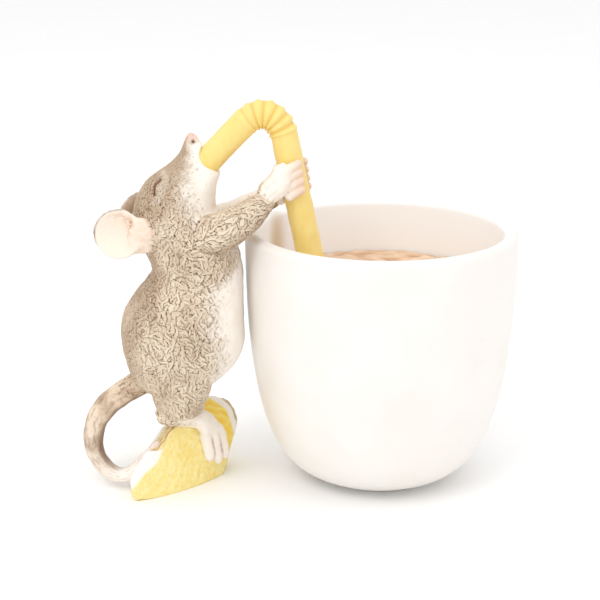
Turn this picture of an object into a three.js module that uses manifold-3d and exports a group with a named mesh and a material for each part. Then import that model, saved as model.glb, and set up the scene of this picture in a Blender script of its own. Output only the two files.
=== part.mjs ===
// A hand-painted cast-resin mouse that stands on a lemon wedge and drinks from a cup
// through a bendy straw. Millimetres, +Z up. The origin is the centre of the cup's foot,
// on the table. +X runs from the mouse to the cup and +Y is the mouse's left side.
import * as THREE from 'three';
import { mergeVertices } from 'three/addons/utils/BufferGeometryUtils.js';
import Module from 'manifold-3d';

const wasm = await Module();
wasm.setup();

// ---- driving dimensions -------------------------------------------------------------
const GAP = 0.3; // clearance between neighbouring pieces

const CUP_RADIUS = 41.4;
const CUP_HEIGHT = 79.3;
const CUP_WALL = 4.2;
const CUP_FLOOR = 6;
const CUP_FOOT_RADIUS = 19;
const CUP_SEGMENTS = 40;
const CUP_RINGS = 10;
const CUP_TOP_FULLNESS = 2.5; // how quickly the side leaves the belly line
const CUP_BASE_FULLNESS = 4.5; // how square the lower corner is
const DRINK_LEVEL = 61.4;
const DRINK_THICKNESS = 12;
const DRINK_MOUND = 1.2;
const SLEEVE_CLEARANCE = 0.8;

const FIGURE_Y = -10; // the mouse's middle plane
const NECK_POINT = new THREE.Vector3(-60, FIGURE_Y, 81);
const NECK_WAY = new THREE.Vector3(-0.42, 0, 0.91); // up through the neck joint
const SHIN_HEIGHT = 31;

const STRAW_RADIUS = 4;
const STRAW_LEAN = new THREE.Vector3(-0.207, 0, 0.978); // up along the lower limb
const STRAW_END_HEIGHT = 55;

const PIN_RADIUS = 1.2;
const PIN_HOLE_RADIUS = 1.5;

const WEDGE_CORNER = new THREE.Vector3(-71.8, -24.7, 0);
const WEDGE_TURN = THREE.MathUtils.degToRad(46);
const WEDGE_TILT = THREE.MathUtils.degToRad(36.5);
const WEDGE_HALF = { along: 30, across: 17, deep: 12.6 };
const WEDGE_CENTRE = { along: 15, up: 3, deep: 2 };
const PEEL_CENTRE = new THREE.Vector3(-98.4, 28.9, 0); // of the wedge's bulging near side
const PEEL_RADIUS = 60.2;

// ---- solids -------------------------------------------------------------------------
// Turns a closed three.js geometry into a solid that can be joined and cut.
function solidOf(geometry) {
  const bare = geometry.clone();
  bare.deleteAttribute('normal');
  bare.deleteAttribute('uv');
  const merged = mergeVertices(bare, 1e-4);
  return new wasm.Manifold(new wasm.Mesh({
    numProp: 3,
    vertProperties: merged.attributes.position.array,
    triVerts: merged.index.array,
  }));
}

function geometryOf(solid) {
  const mesh = solid.getMesh();
  const geometry = new THREE.BufferGeometry();
  geometry.setAttribute('position', new THREE.BufferAttribute(mesh.vertProperties, 3));
  geometry.setIndex(new THREE.BufferAttribute(mesh.triVerts, 1));
  geometry.computeVertexNormals();
  return geometry;
}

// A closed soft form: elliptical rings strung along a smooth line. A station is
// [x, y, z, across, deep, turn], where deep is the half-width towards Y, across is the
// half-width square to it, and turn, if given, spins the ring about the line in degrees.
// The first and last stations are the two poles.
function softForm(stations, { around = 20, along = 16, grow = 0 } = {}) {
  const line = new THREE.CatmullRomCurve3(
    stations.map(([x, y, z]) => new THREE.Vector3(x, y, z)),
    false,
    'catmullrom',
  );
  const girth = new THREE.CatmullRomCurve3(
    stations.map(([, , , across, deep, turn = 0]) => new THREE.Vector3(across, deep, turn)),
    false,
    'catmullrom',
  );
  const geometry = new THREE.SphereGeometry(1, around, along);
  const position = geometry.attributes.position;
  const vertex = new THREE.Vector3();
  const deepWay = new THREE.Vector3();
  const acrossWay = new THREE.Vector3();
  for (let i = 0; i < position.count; i += 1) {
    vertex.fromBufferAttribute(position, i);
    const t = Math.acos(THREE.MathUtils.clamp(vertex.y, -1, 1)) / Math.PI;
    const ringRadius = Math.hypot(vertex.x, vertex.z);
    const isPole = ringRadius < 1e-6;
    const tangent = line.getTangent(t);
    deepWay.set(0, 1, 0).addScaledVector(tangent, -tangent.y).normalize();
    const size = girth.getPoint(t);
    deepWay.applyAxisAngle(tangent, THREE.MathUtils.degToRad(size.z));
    acrossWay.crossVectors(deepWay, tangent).normalize();
    const point = line.getPoint(t);
    if (isPole) {
      point.addScaledVector(tangent, t < 0.5 ? -grow : grow);
    } else {
      point.addScaledVector(acrossWay, (vertex.x / ringRadius) * (Math.max(size.x, 0.05) + grow));
      point.addScaledVector(deepWay, (vertex.z / ringRadius) * (Math.max(size.y, 0.05) + grow));
    }
    position.setXYZ(i, point.x, point.y, point.z);
  }
  const solid = solidOf(geometry);
  return solid.volume() > 0 ? solid : solidOf(flipped(geometry));
}

// The same geometry with its faces turned the other way out.
function flipped(geometry) {
  const copy = geometry.clone();
  const index = copy.index.array;
  for (let i = 0; i < index.length; i += 3) {
    [index[i + 1], index[i + 2]] = [index[i + 2], index[i + 1]];
  }
  return copy;
}

// A turned form standing on the Z axis.
function turnedForm(profile, segments) {
  const geometry = new THREE.LatheGeometry(profile, segments);
  geometry.rotateX(Math.PI / 2);
  return geometry;
}

// A straight round bar between two points.
function bar(from, to, radius, sides = 12) {
  const length = from.distanceTo(to);
  const geometry = new THREE.CylinderGeometry(radius, radius, length, sides);
  const turn = new THREE.Quaternion().setFromUnitVectors(
    new THREE.Vector3(0, 1, 0),
    to.clone().sub(from).normalize(),
  );
  geometry.applyQuaternion(turn);
  const middle = from.clone().add(to).multiplyScalar(0.5);
  geometry.translate(middle.x, middle.y, middle.z);
  return solidOf(geometry);
}

// A big block on one side of a plane, for cutting a form off flat. It fills the side that
// the normal points to.
function halfSpace(point, normal) {
  const side = 300;
  const geometry = new THREE.BoxGeometry(side, side, side);
  geometry.translate(0, 0, side / 2);
  geometry.applyQuaternion(new THREE.Quaternion().setFromUnitVectors(
    new THREE.Vector3(0, 0, 1),
    normal.clone().normalize(),
  ));
  geometry.translate(point.x, point.y, point.z);
  return solidOf(geometry);
}

const UP = new THREE.Vector3(0, 0, 1);
const DOWN = new THREE.Vector3(0, 0, -1);
const above = (z) => halfSpace(new THREE.Vector3(0, 0, z), UP);
const below = (z) => halfSpace(new THREE.Vector3(0, 0, z), DOWN);

// The space past a joint face moved by offset along its direction; way is 1 for the side
// that the direction points to and -1 for the other.
function beyond(point, direction, offset, way) {
  const unit = direction.clone().normalize();
  return halfSpace(point.clone().addScaledVector(unit, offset), unit.clone().multiplyScalar(way));
}

// ---- cup and drink ------------------------------------------------------------------
// Outside radius of the cup at a height: a straight-sided bowl with a rounded foot.
function cupRadius(z) {
  const depth = (CUP_HEIGHT - Math.min(z, CUP_HEIGHT)) / CUP_HEIGHT;
  return CUP_RADIUS * (1 - depth ** CUP_TOP_FULLNESS) ** (1 / CUP_BASE_FULLNESS);
}

function cupSideHeights(steps) {
  const firstHeight = 0.6;
  const heights = [];
  for (let i = 0; i <= steps; i += 1) {
    const t = i / steps;
    heights.push(firstHeight + (CUP_HEIGHT - CUP_WALL / 2 - firstHeight) * t ** 1.7);
  }
  return heights;
}

function cupGeometry() {
  const lipRadius = CUP_WALL / 2;
  const lipCentre = cupRadius(CUP_HEIGHT) - lipRadius;
  const lipHeight = CUP_HEIGHT - lipRadius;
  const profile = [new THREE.Vector2(0, 0), new THREE.Vector2(CUP_FOOT_RADIUS, 0)];
  for (const z of cupSideHeights(CUP_RINGS)) {
    profile.push(new THREE.Vector2(cupRadius(z), z));
  }
  for (let i = 1; i <= 3; i += 1) {
    const angle = (Math.PI * i) / 4;
    profile.push(new THREE.Vector2(
      lipCentre + lipRadius * Math.cos(angle),
      lipHeight + lipRadius * Math.sin(angle),
    ));
  }
  const innerHeights = cupSideHeights(8).slice(1).reverse();
  for (const z of innerHeights) {
    const lift = CUP_FLOOR * (1 - z / lipHeight);
    profile.push(new THREE.Vector2(cupRadius(z) - CUP_WALL, z + lift));
  }
  profile.push(new THREE.Vector2(0, CUP_FLOOR));
  return turnedForm(profile, CUP_SEGMENTS);
}

// The whole outside of the cup as a filled solid, used to keep the figure clear of it.
function cupEnvelope(grow) {
  const profile = [new THREE.Vector2(0, -grow), new THREE.Vector2(CUP_FOOT_RADIUS + grow, -grow)];
  for (const z of cupSideHeights(CUP_RINGS)) {
    profile.push(new THREE.Vector2(cupRadius(z) + grow, z));
  }
  profile.push(new THREE.Vector2(cupRadius(CUP_HEIGHT) + grow, CUP_HEIGHT + grow));
  profile.push(new THREE.Vector2(0, CUP_HEIGHT + grow));
  return solidOf(turnedForm(profile, CUP_SEGMENTS));
}

function strawPointAt(z) {
  const reference = new THREE.Vector3(-27.8, FIGURE_Y, 102);
  return reference.addScaledVector(STRAW_LEAN, (z - 102) / STRAW_LEAN.z);
}

// The drink is a set disc bonded inside the cup, with a low mound on top and a sleeve
// hole for the straw. The cup is hollow below it.
function drinkSolid() {
  const side = (z) => cupRadius(z) - CUP_WALL - GAP - 0.4;
  const bottom = DRINK_LEVEL - DRINK_THICKNESS;
  const profile = [new THREE.Vector2(0, bottom)];
  for (let i = 0; i <= 4; i += 1) {
    const z = bottom + ((DRINK_LEVEL - bottom) * i) / 4;
    profile.push(new THREE.Vector2(side(z - CUP_FLOOR * (1 - z / CUP_HEIGHT)), z));
  }
  profile.push(new THREE.Vector2(side(DRINK_LEVEL) * 0.93, DRINK_LEVEL + DRINK_MOUND));
  profile.push(new THREE.Vector2(side(DRINK_LEVEL) * 0.5, DRINK_LEVEL + DRINK_MOUND * 1.5));
  profile.push(new THREE.Vector2(0, DRINK_LEVEL + DRINK_MOUND));
  const body = solidOf(turnedForm(profile, CUP_SEGMENTS));
  const sleeve = bar(
    strawPointAt(STRAW_END_HEIGHT - 2),
    strawPointAt(DRINK_LEVEL + 20),
    STRAW_RADIUS + SLEEVE_CLEARANCE,
  );
  return body.subtract(sleeve);
}

// ---- mouse --------------------------------------------------------------------------
// Nose to rump, looking up: [x, z, half-width in profile, half-width from side to side].
const BODY_LINE = [
  [-55.9, 109.9, 0, 0],
  [-55.9, 108.4, 1.9, 1.9],
  [-55.6, 105.6, 3.8, 3.9],
  [-55.4, 102.0, 6.1, 5.8],
  [-56.4, 98.0, 8.6, 8.0],
  [-58.6, 94.4, 10.4, 9.8],
  [-60.9, 91.0, 11.7, 11.2],
  [-61.6, 87.0, 12.4, 12.2],
  [-60.8, 83.0, 12.6, 12.3],
  [-59.0, 79.0, 12.6, 12.4],
  [-57.0, 75.0, 13.0, 12.8],
  [-55.6, 70.6, 13.4, 13.2],
  [-55.6, 66.0, 14.0, 13.8],
  [-56.6, 61.0, 15.4, 15.0],
  [-58.2, 55.6, 17.4, 16.2],
  [-59.9, 50.0, 18.8, 17.0],
  [-61.5, 44.6, 18.0, 16.8],
  [-62.8, 39.6, 15.8, 15.4],
  [-63.6, 35.0, 12.6, 12.4],
  [-63.2, 31.4, 7.0, 7.5],
  [-63.0, 29.8, 0, 0],
];

function bodyForm(grow = 0) {
  const stations = BODY_LINE.map(([x, z, across, deep]) => [x, FIGURE_Y, z, across, deep]);
  return softForm(stations, { around: 22, along: 30, grow });
}

// side is -1 for the right and +1 for the left; spread is measured from the middle plane.
const sideways = (side, spread) => FIGURE_Y + side * spread;

function legForm(side, grow = 0) {
  return softForm([
    [-58.0, sideways(side, 6.5), 45.5, 0, 0],
    [-59.0, sideways(side, 7.4), 42.0, 7.5, 6.2],
    [-60.2, sideways(side, 7.6), 36.5, 9.0, 7.2],
    [-61.0, sideways(side, 6.8), 31.0, 8.4, 6.2],
    [-61.0, sideways(side, 5.8), 27.0, 7.2, 5.0],
    [-60.8, sideways(side, 5.2), 24.6, 6.0, 4.2],
    [-60.8, sideways(side, 5.0), 23.6, 0, 0],
  ], { around: 16, along: 14, grow });
}

const ARM_STATIONS = {
  right: [
    [-57.5, -15.0, 77.5, 0, 0],
    [-55.5, -16.5, 79.0, 5.0, 4.6],
    [-50.5, -18.2, 81.4, 5.8, 4.9],
    [-45.0, -18.6, 84.0, 4.9, 4.4],
    [-40.0, -18.0, 87.2, 4.3, 4.0],
    [-36.0, -16.8, 89.8, 3.8, 3.6],
    [-32.6, -15.6, 92.0, 3.4, 3.2],
    [-30.0, -15.0, 94.0, 0, 0],
  ],
  left: [
    [-57.5, -5.0, 76.0, 0, 0],
    [-55.5, -3.6, 77.6, 5.0, 4.6],
    [-50.5, -2.6, 79.8, 5.4, 4.7],
    [-45.0, -2.8, 81.8, 4.6, 4.2],
    [-40.0, -3.4, 84.6, 4.1, 3.8],
    [-36.0, -4.2, 87.4, 3.7, 3.5],
    [-32.6, -4.8, 90.4, 3.3, 3.2],
    [-30.0, -5.2, 92.6, 0, 0],
  ],
};
const WRIST = {
  right: new THREE.Vector3(-33.4, FIGURE_Y, 91.4),
  left: new THREE.Vector3(-33.4, FIGURE_Y, 89.9),
};
const WRIST_WAY = new THREE.Vector3(0.8, 0, 0.6);

// [x, distance from the middle plane, height above the wrist, across, deep]
const PAW_STATIONS = [
  [-35.0, 5.6, -1.4, 0, 0],
  [-33.4, 5.6, 0, 3.2, 3.2],
  [-30.8, 5.6, 1.8, 4.2, 3.9],
  [-27.8, 5.3, 3.4, 4.8, 4.3],
  [-25.2, 4.2, 4.2, 4.6, 4.2],
  [-23.0, 3.0, 3.6, 3.2, 2.9],
  [-22.0, 2.4, 2.8, 0, 0],
];

const FOOT_STATIONS = {
  right: [
    [-66.6, -15.6, 24.0, 0, 0, 0],
    [-64.8, -15.2, 23.6, 2.6, 3.0, 0],
    [-61.4, -13.6, 22.6, 3.0, 3.4, 0],
    [-58.0, -11.6, 21.8, 3.0, 3.6, 0],
    [-54.8, -9.4, 19.6, 3.0, 4.0, 10],
    [-52.6, -9.2, 16.0, 2.6, 4.4, 34],
    [-51.6, -8.9, 11.2, 2.2, 4.6, 48],
    [-51.2, -8.6, 7.0, 1.8, 4.2, 51],
    [-51.2, -8.4, 4.2, 0, 0, 51],
  ],
  left: [
    [-67.2, -6.4, 25.0, 0, 0, 0],
    [-65.4, -5.6, 25.0, 2.3, 3.0, 0],
    [-62.4, -3.0, 26.0, 2.7, 3.4, 0],
    [-60.2, 0.8, 26.0, 2.7, 3.4, 0],
    [-59.0, 5.0, 23.8, 2.6, 3.4, 0],
    [-58.6, 8.2, 19.6, 2.5, 3.2, 0],
    [-58.6, 10.0, 15.4, 2.1, 2.8, 0],
    [-58.6, 10.6, 13.4, 0, 0, 0],
  ],
};

const TAIL_STATIONS = [
  [-66.0, -10.0, 38.5, 0, 0],
  [-68.0, -10.0, 37.0, 4.3, 4.3],
  [-71.5, -10.0, 34.4, 4.1, 4.1],
  [-75.5, -10.0, 31.6, 3.9, 3.9],
  [-79.8, -10.0, 28.8, 3.7, 3.7],
  [-84.0, -10.0, 25.4, 3.6, 3.6],
  [-87.2, -10.0, 20.8, 3.4, 3.4],
  [-88.6, -10.2, 16.2, 3.1, 3.1],
  [-88.6, -11.0, 12.0, 2.9, 2.9],
  [-87.2, -12.2, 8.4, 2.7, 2.7],
  [-84.4, -13.6, 5.4, 2.6, 2.6],
  [-80.8, -15.4, 4.2, 2.4, 2.4],
  [-77.2, -17.4, 5.6, 2.2, 2.2],
  [-73.8, -18.6, 8.8, 2.0, 2.0],
  [-70.6, -18.2, 12.2, 1.8, 1.8],
  [-68.0, -17.0, 15.0, 1.5, 1.5],
  [-67.2, -16.6, 15.8, 0, 0],
];

function tailForm(grow = 0) {
  return softForm(TAIL_STATIONS, { around: 8, along: 36, grow });
}

// An ear is a shallow dish on a short root.
const EARS = {
  right: {
    centre: new THREE.Vector3(-77.2, -20.4, 82.2),
    facing: new THREE.Vector3(-0.12, -0.96, 0.24),
    root: [[-73.4, -20.2, 81.6], [-66.0, -15.0, 81.0]],
  },
  left: {
    centre: new THREE.Vector3(-74.6, 1.6, 83.6),
    facing: new THREE.Vector3(-0.78, 0.6, 0.16),
    root: [[-73.6, 0.6, 83.6], [-66.0, -6.0, 82.0]],
  },
};
const EAR_HALF = 7.3;
const EAR_THICKNESS = 2.2;
const EAR_DISH_RADIUS = 16;
const EAR_ROOT_RADIUS = 3.2;

function earForm({ centre, facing, root }) {
  const disc = new THREE.SphereGeometry(1, 20, 10);
  disc.scale(EAR_HALF, EAR_HALF, EAR_THICKNESS);
  const turn = new THREE.Quaternion().setFromUnitVectors(UP, facing.clone().normalize());
  disc.applyQuaternion(turn);
  disc.translate(centre.x, centre.y, centre.z);
  const bowl = new THREE.SphereGeometry(EAR_DISH_RADIUS, 28, 18);
  const bowlCentre = centre.clone().addScaledVector(facing.clone().normalize(), EAR_DISH_RADIUS + 0.2);
  bowl.translate(bowlCentre.x, bowlCentre.y, bowlCentre.z);
  const [outer, inner] = root.map((point) => new THREE.Vector3(...point));
  return solidOf(disc).subtract(solidOf(bowl)).add(bar(outer, inner, EAR_ROOT_RADIUS));
}

// ---- straw --------------------------------------------------------------------------
const STRAW_BEND = [
  [-54.4, 98.8],
  [-50.8, 102.6],
  [-46.3, 107.4],
  [-41.9, 112.0],
  [-39.3, 114.4],
  [-36.3, 115.7],
  [-33.0, 115.0],
  [-30.7, 112.7],
  [-29.3, 109.6],
  [-28.6, 106.2],
  [-27.8, 102.0],
];

function strawForm(grow = 0) {
  const points = STRAW_BEND.map(([x, z]) => new THREE.Vector3(x, FIGURE_Y, z));
  for (const z of [92, 82, 72, 62, STRAW_END_HEIGHT]) {
    points.push(strawPointAt(z));
  }
  const section = new THREE.Shape();
  section.absarc(0, 0, STRAW_RADIUS + grow, 0, Math.PI * 2, false);
  const geometry = new THREE.ExtrudeGeometry(section, {
    steps: 40,
    curveSegments: 6,
    bevelEnabled: false,
    extrudePath: new THREE.CatmullRomCurve3(points, false, 'centripetal'),
  });
  const solid = solidOf(geometry);
  return solid.volume() > 0 ? solid : solidOf(flipped(geometry));
}

// ---- lemon wedge --------------------------------------------------------------------
// The near side is the bulging peel, and the pulp face, the rind, the tip and
// the heel are cuts.
const PULP_POINT = new THREE.Vector3(-58.6, -11.5, 19.3);
const PULP_FACING = new THREE.Vector3(0.585, -0.44, 0.682);
const RIND_POINT = new THREE.Vector3(-76.3, -28.3, 6.3);
const RIND_FACING = new THREE.Vector3(-0.845, 0.132, 0.518);
const TIP_POINT = new THREE.Vector3(-75.2, -24.7, 0);
const TIP_FACING = new THREE.Vector3(-0.968, -0.194, -0.158);
const HEEL_POINT = new THREE.Vector3(-48.4, 1.1, 0);
const HEEL_FACING = new THREE.Vector3(0.966, -0.056, -0.252);

function wedgeForm(grow = 0) {
  const fruit = new THREE.SphereGeometry(1, 28, 18);
  fruit.scale(WEDGE_HALF.along + grow, WEDGE_HALF.deep + grow, WEDGE_HALF.across + grow);
  fruit.rotateY(-WEDGE_TILT);
  fruit.translate(WEDGE_CENTRE.along, WEDGE_CENTRE.deep, WEDGE_CENTRE.up);
  fruit.rotateZ(WEDGE_TURN);
  fruit.translate(WEDGE_CORNER.x, WEDGE_CORNER.y, WEDGE_CORNER.z);
  const peel = new THREE.SphereGeometry(PEEL_RADIUS + grow, 72, 48);
  peel.translate(PEEL_CENTRE.x, PEEL_CENTRE.y, PEEL_CENTRE.z);
  return solidOf(fruit)
    .intersect(solidOf(peel))
    .intersect(beyond(PULP_POINT, PULP_FACING, grow, -1))
    .intersect(beyond(RIND_POINT, RIND_FACING, grow, -1))
    .intersect(beyond(TIP_POINT, TIP_FACING, grow, -1))
    .intersect(beyond(HEEL_POINT, HEEL_FACING, grow, -1))
    .intersect(above(-grow));
}

// ---- dowel pins ---------------------------------------------------------------------
const PINS = {
  neck_pin: [[-62.6, FIGURE_Y, 86.6], [-57.4, FIGURE_Y, 75.4]],
  right_shoulder_pin: [[-46.6, -17.6, 82.2], [-54.4, -12.4, 77.2]],
  left_shoulder_pin: [[-46.6, -3.2, 82.2], [-54.4, -7.8, 77.2]],
  tail_pin: [[-74.6, FIGURE_Y, 32.2], [-65.6, FIGURE_Y, 38.4]],
  right_leg_pin: [[-61.2, -14.2, 23.2], [-60.6, -16.4, 36]],
  left_leg_pin: [[-61.6, -4.4, 26.0], [-60.6, -3.6, 36]],
};

function pinSolid(name, grow = 0) {
  const [from, to] = PINS[name].map((point) => new THREE.Vector3(...point));
  const way = to.clone().sub(from).normalize().multiplyScalar(grow);
  return bar(from.clone().sub(way), to.clone().add(way), PIN_RADIUS + grow, 12);
}
const pinHole = (name) => pinSolid(name, PIN_HOLE_RADIUS - PIN_RADIUS);

// ---- finishes -----------------------------------------------------------------------
const FINISH = {
  porcelain: { color: 0xfbf9f5, roughness: 0.35, metalness: 0 },
  drink: { color: 0xc99a78, roughness: 0.5, metalness: 0 },
  fur: { color: 0xcbb79c, roughness: 0.75, metalness: 0 },
  skin: { color: 0xf6e6d8, roughness: 0.6, metalness: 0 },
  ear: { color: 0xf7e2cf, roughness: 0.6, metalness: 0 },
  tail: { color: 0xd6bea0, roughness: 0.65, metalness: 0 },
  straw: { color: 0xf3da6c, roughness: 0.4, metalness: 0 },
  lemon: { color: 0xf6dd80, roughness: 0.5, metalness: 0 },
  steel: { color: 0x9a9ca0, roughness: 0.35, metalness: 1 },
};

// ---- assembly -----------------------------------------------------------------------
const mouse = new THREE.Group();

function addPiece(name, geometry, finish) {
  const mesh = new THREE.Mesh(geometry, new THREE.MeshStandardMaterial(FINISH[finish]));
  mesh.name = name;
  mouse.add(mesh);
}
const addSolid = (name, solid, finish) => addPiece(name, geometryOf(solid), finish);

const cupKeepOut = cupEnvelope(GAP);
const strawKeepOut = strawForm(GAP);
const bodyKeepOut = bodyForm(GAP);
const wedgeKeepOut = wedgeForm(GAP);
const sides = { right: -1, left: 1 };

addPiece('cup', cupGeometry(), 'porcelain');
addSolid('drink', drinkSolid(), 'drink');

const torso = bodyForm()
  .add(legForm(-1))
  .add(legForm(1))
  .intersect(beyond(NECK_POINT, NECK_WAY, -GAP / 2, -1))
  .intersect(above(SHIN_HEIGHT + GAP / 2))
  .subtract(cupKeepOut)
  .subtract(tailForm(GAP))
  .subtract(pinHole('neck_pin'))
  .subtract(pinHole('tail_pin'))
  .subtract(pinHole('right_shoulder_pin'))
  .subtract(pinHole('left_shoulder_pin'))
  .subtract(pinHole('right_leg_pin'))
  .subtract(pinHole('left_leg_pin'));
addSolid('torso', torso, 'fur');

const head = bodyForm()
  .intersect(beyond(NECK_POINT, NECK_WAY, GAP / 2, 1))
  .subtract(strawKeepOut)
  .subtract(pinHole('neck_pin'));
addSolid('head', head, 'fur');

for (const [sideName, side] of Object.entries(sides)) {
  const ear = earForm(EARS[sideName]).subtract(bodyKeepOut);
  addSolid(`${sideName}_ear`, ear, 'ear');

  const arm = softForm(ARM_STATIONS[sideName], { around: 14, along: 16 })
    .intersect(beyond(WRIST[sideName], WRIST_WAY, -GAP / 2, -1))
    .subtract(bodyKeepOut)
    .subtract(cupKeepOut)
    .subtract(strawKeepOut)
    .subtract(pinHole(`${sideName}_shoulder_pin`));
  addSolid(`${sideName}_arm`, arm, 'fur');

  const middle = new THREE.Vector3(0, FIGURE_Y + (side * GAP) / 2, 0);
  const wrist = WRIST[sideName];
  const pawStations = PAW_STATIONS.map(([x, spread, rise, across, deep]) => (
    [x, sideways(side, spread), wrist.z + rise, across, deep]
  ));
  const paw = softForm(pawStations, { around: 14, along: 12 })
    .intersect(beyond(wrist, WRIST_WAY, GAP / 2, 1))
    .intersect(halfSpace(middle, new THREE.Vector3(0, side, 0)))
    .subtract(strawKeepOut);
  addSolid(`${sideName}_paw`, paw, 'skin');

  const footKeepOut = softForm(FOOT_STATIONS[sideName], { around: 12, along: 14, grow: GAP });
  const leg = legForm(side)
    .intersect(below(SHIN_HEIGHT - GAP / 2))
    .intersect(halfSpace(middle, new THREE.Vector3(0, side, 0)))
    .subtract(footKeepOut)
    .subtract(wedgeKeepOut)
    .subtract(pinHole(`${sideName}_leg_pin`));
  addSolid(`${sideName}_leg`, leg, 'fur');

  const foot = softForm(FOOT_STATIONS[sideName], { around: 12, along: 14 })
    .subtract(wedgeKeepOut)
    .subtract(pinHole(`${sideName}_leg_pin`));
  addSolid(`${sideName}_foot`, foot, 'skin');
}

addSolid('tail', tailForm().subtract(bodyKeepOut).subtract(pinHole('tail_pin')), 'tail');
addSolid('straw', strawForm(), 'straw');
addSolid('lemon_wedge', wedgeForm().subtract(tailForm(GAP)), 'lemon');

for (const name of Object.keys(PINS)) {
  addSolid(name, pinSolid(name), 'steel');
}

export default mouse;
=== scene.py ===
"""A hand-painted resin mouse on a lemon wedge, drinking from a cup through a bendy straw.
Shapes are worked out in millimetres in the CAD frame and become metres in new_mesh()."""
import math

import bmesh
import bpy
import numpy as np
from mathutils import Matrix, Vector
from mathutils.kdtree import KDTree


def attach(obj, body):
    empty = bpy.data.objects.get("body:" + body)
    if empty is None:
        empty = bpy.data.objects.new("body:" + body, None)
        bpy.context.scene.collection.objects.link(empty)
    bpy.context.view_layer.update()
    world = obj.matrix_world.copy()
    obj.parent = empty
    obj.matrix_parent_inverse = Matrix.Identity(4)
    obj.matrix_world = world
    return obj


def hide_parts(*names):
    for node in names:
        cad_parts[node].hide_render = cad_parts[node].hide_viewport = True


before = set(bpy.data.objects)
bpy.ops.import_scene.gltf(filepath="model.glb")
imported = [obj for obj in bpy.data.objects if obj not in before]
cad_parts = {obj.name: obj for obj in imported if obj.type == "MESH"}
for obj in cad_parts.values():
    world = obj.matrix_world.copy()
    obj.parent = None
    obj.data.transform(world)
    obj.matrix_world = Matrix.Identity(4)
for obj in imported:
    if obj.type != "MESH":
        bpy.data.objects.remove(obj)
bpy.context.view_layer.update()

MM = 0.001

# ---- sizes taken over from the CAD, in millimetres ----
FIGURE_Y = -10.0
CUP_RADIUS, CUP_HEIGHT, CUP_WALL, CUP_FLOOR = 41.4, 79.3, 4.2, 6.0
DRINK_LEVEL, DRINK_BOTTOM = 61.4, 49.4
STRAW_RADIUS, STRAW_END = 4.0, 55.0
STRAW_LEAN = np.array([-0.207, 0.0, 0.978])
STRAW_REFERENCE = np.array([-27.8, FIGURE_Y, 102.0])
SLEEVE_CLEARANCE = 0.8
NECK_POINT = np.array([-60.0, FIGURE_Y, 81.0])
NECK_WAY = np.array([-0.42, 0.0, 0.91])
SHIN_HEIGHT = 31.0
CLEARANCE = 0.35  # how far the figure stays off the cup

rng = np.random.default_rng(7)


# ---- mesh arithmetic ----
def norm(v):
    return np.linalg.norm(v, axis=-1)


def unit(v):
    v = np.asarray(v, float)
    return v / np.maximum(np.linalg.norm(v, axis=-1, keepdims=True), 1e-9)


def dot(a, b):
    """The dot product of each row of a with the same row of b."""
    return np.einsum("ij,ij->i", a, b)


def smoothstep(low, high, value):
    t = np.clip((value - low) / (high - low), 0, 1)
    return t * t * (3 - 2 * t)


def hump(distance, width):
    """1 where the distance is 0, fading to nothing over about twice the width."""
    return np.exp(-(distance / width)**2)


def catmull(points, t):
    """Points at t (0 to 1) on the smooth line through the given points."""
    p = np.asarray(points, float)
    p = np.vstack([2 * p[0] - p[1], p, 2 * p[-1] - p[-2]])
    s = np.clip(t, 0, 1) * (len(p) - 3)
    i = np.minimum(s.astype(int), len(p) - 4)
    w = (s - i)[:, None]
    a, b, c, d = p[i], p[i + 1], p[i + 2], p[i + 3]
    return 0.5 * (2 * b + (c - a) * w + (2 * a - 5 * b + 4 * c - d) * w**2
                  + (3 * b - a - 3 * c + d) * w**3)


def ring_faces(rings, around, first=0, closed=False):
    """Quads between neighbouring rings of vertices."""
    j = np.arange(around)
    k = (j + 1) % around
    faces = []
    for i in range(rings if closed else rings - 1):
        a = first + i * around
        b = first + ((i + 1) % rings) * around
        faces.append(np.stack([a + j, a + k, b + k, b + j], axis=1))
    return np.vstack(faces).tolist()


def end_fans(around, rings, start_tip, end_tip):
    """Triangles that close a tube of rings at both ends, each towards a tip vertex."""
    last = (rings - 1) * around
    faces = []
    for j in range(around):
        k = (j + 1) % around
        faces.append([start_tip, k, j])
        faces.append([end_tip, last + j, last + k])
    return faces


def section_frames(line, turn=None):
    """Tangent, across and deep directions along a line, as the CAD lays its rings."""
    tangent = unit(np.gradient(line, axis=0))
    deep = unit(np.array([0, 1.0, 0]) - tangent * tangent[:, 1:2])
    if turn is not None:
        angle = np.radians(turn)[:, None]
        deep = deep * np.cos(angle) + np.cross(tangent, deep) * np.sin(angle)
    across = unit(np.cross(deep, tangent))
    return tangent, across, deep


def rings_round(line, across, deep, wide, tall, around):
    """An ellipse of points about each point of a line: half width wide, half depth tall."""
    angle = np.linspace(0, 2 * np.pi, around, endpoint=False)[None, :, None]
    return (line[:, None] + across[:, None] * (np.cos(angle) * wide[:, None, None])
            + deep[:, None] * (np.sin(angle) * tall[:, None, None]))


def loft(stations, around=56, along=90, level=False):
    """A closed form of elliptical rings; a station is [x, y, z, across, deep, turn]."""
    table = np.array([list(s) + [0.0] * (6 - len(s)) for s in stations])
    t = np.linspace(0, 1, along + 1)
    line, girth = catmull(table[:, :3], t), catmull(table[:, 3:], t)
    _, across, deep = section_frames(line, girth[:, 2])
    if level:
        across, deep = np.full_like(line, [1.0, 0, 0]), np.full_like(line, [0, 1.0, 0])
    size = np.maximum(girth[:, :2], 0.05)
    rings = rings_round(line, across, deep, size[:, 0], size[:, 1], around)[1:-1]
    verts = np.vstack([rings.reshape(-1, 3), line[0], line[-1]])
    tips = len(verts) - 2, len(verts) - 1
    return verts, ring_faces(along - 1, around) + end_fans(around, along - 1, *tips)


def joined(parts):
    verts, faces, offset = [], [], 0
    for v, f in parts:
        verts.append(v)
        faces += [[i + offset for i in face] for face in f]
        offset += len(v)
    return np.vstack(verts), faces


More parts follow.
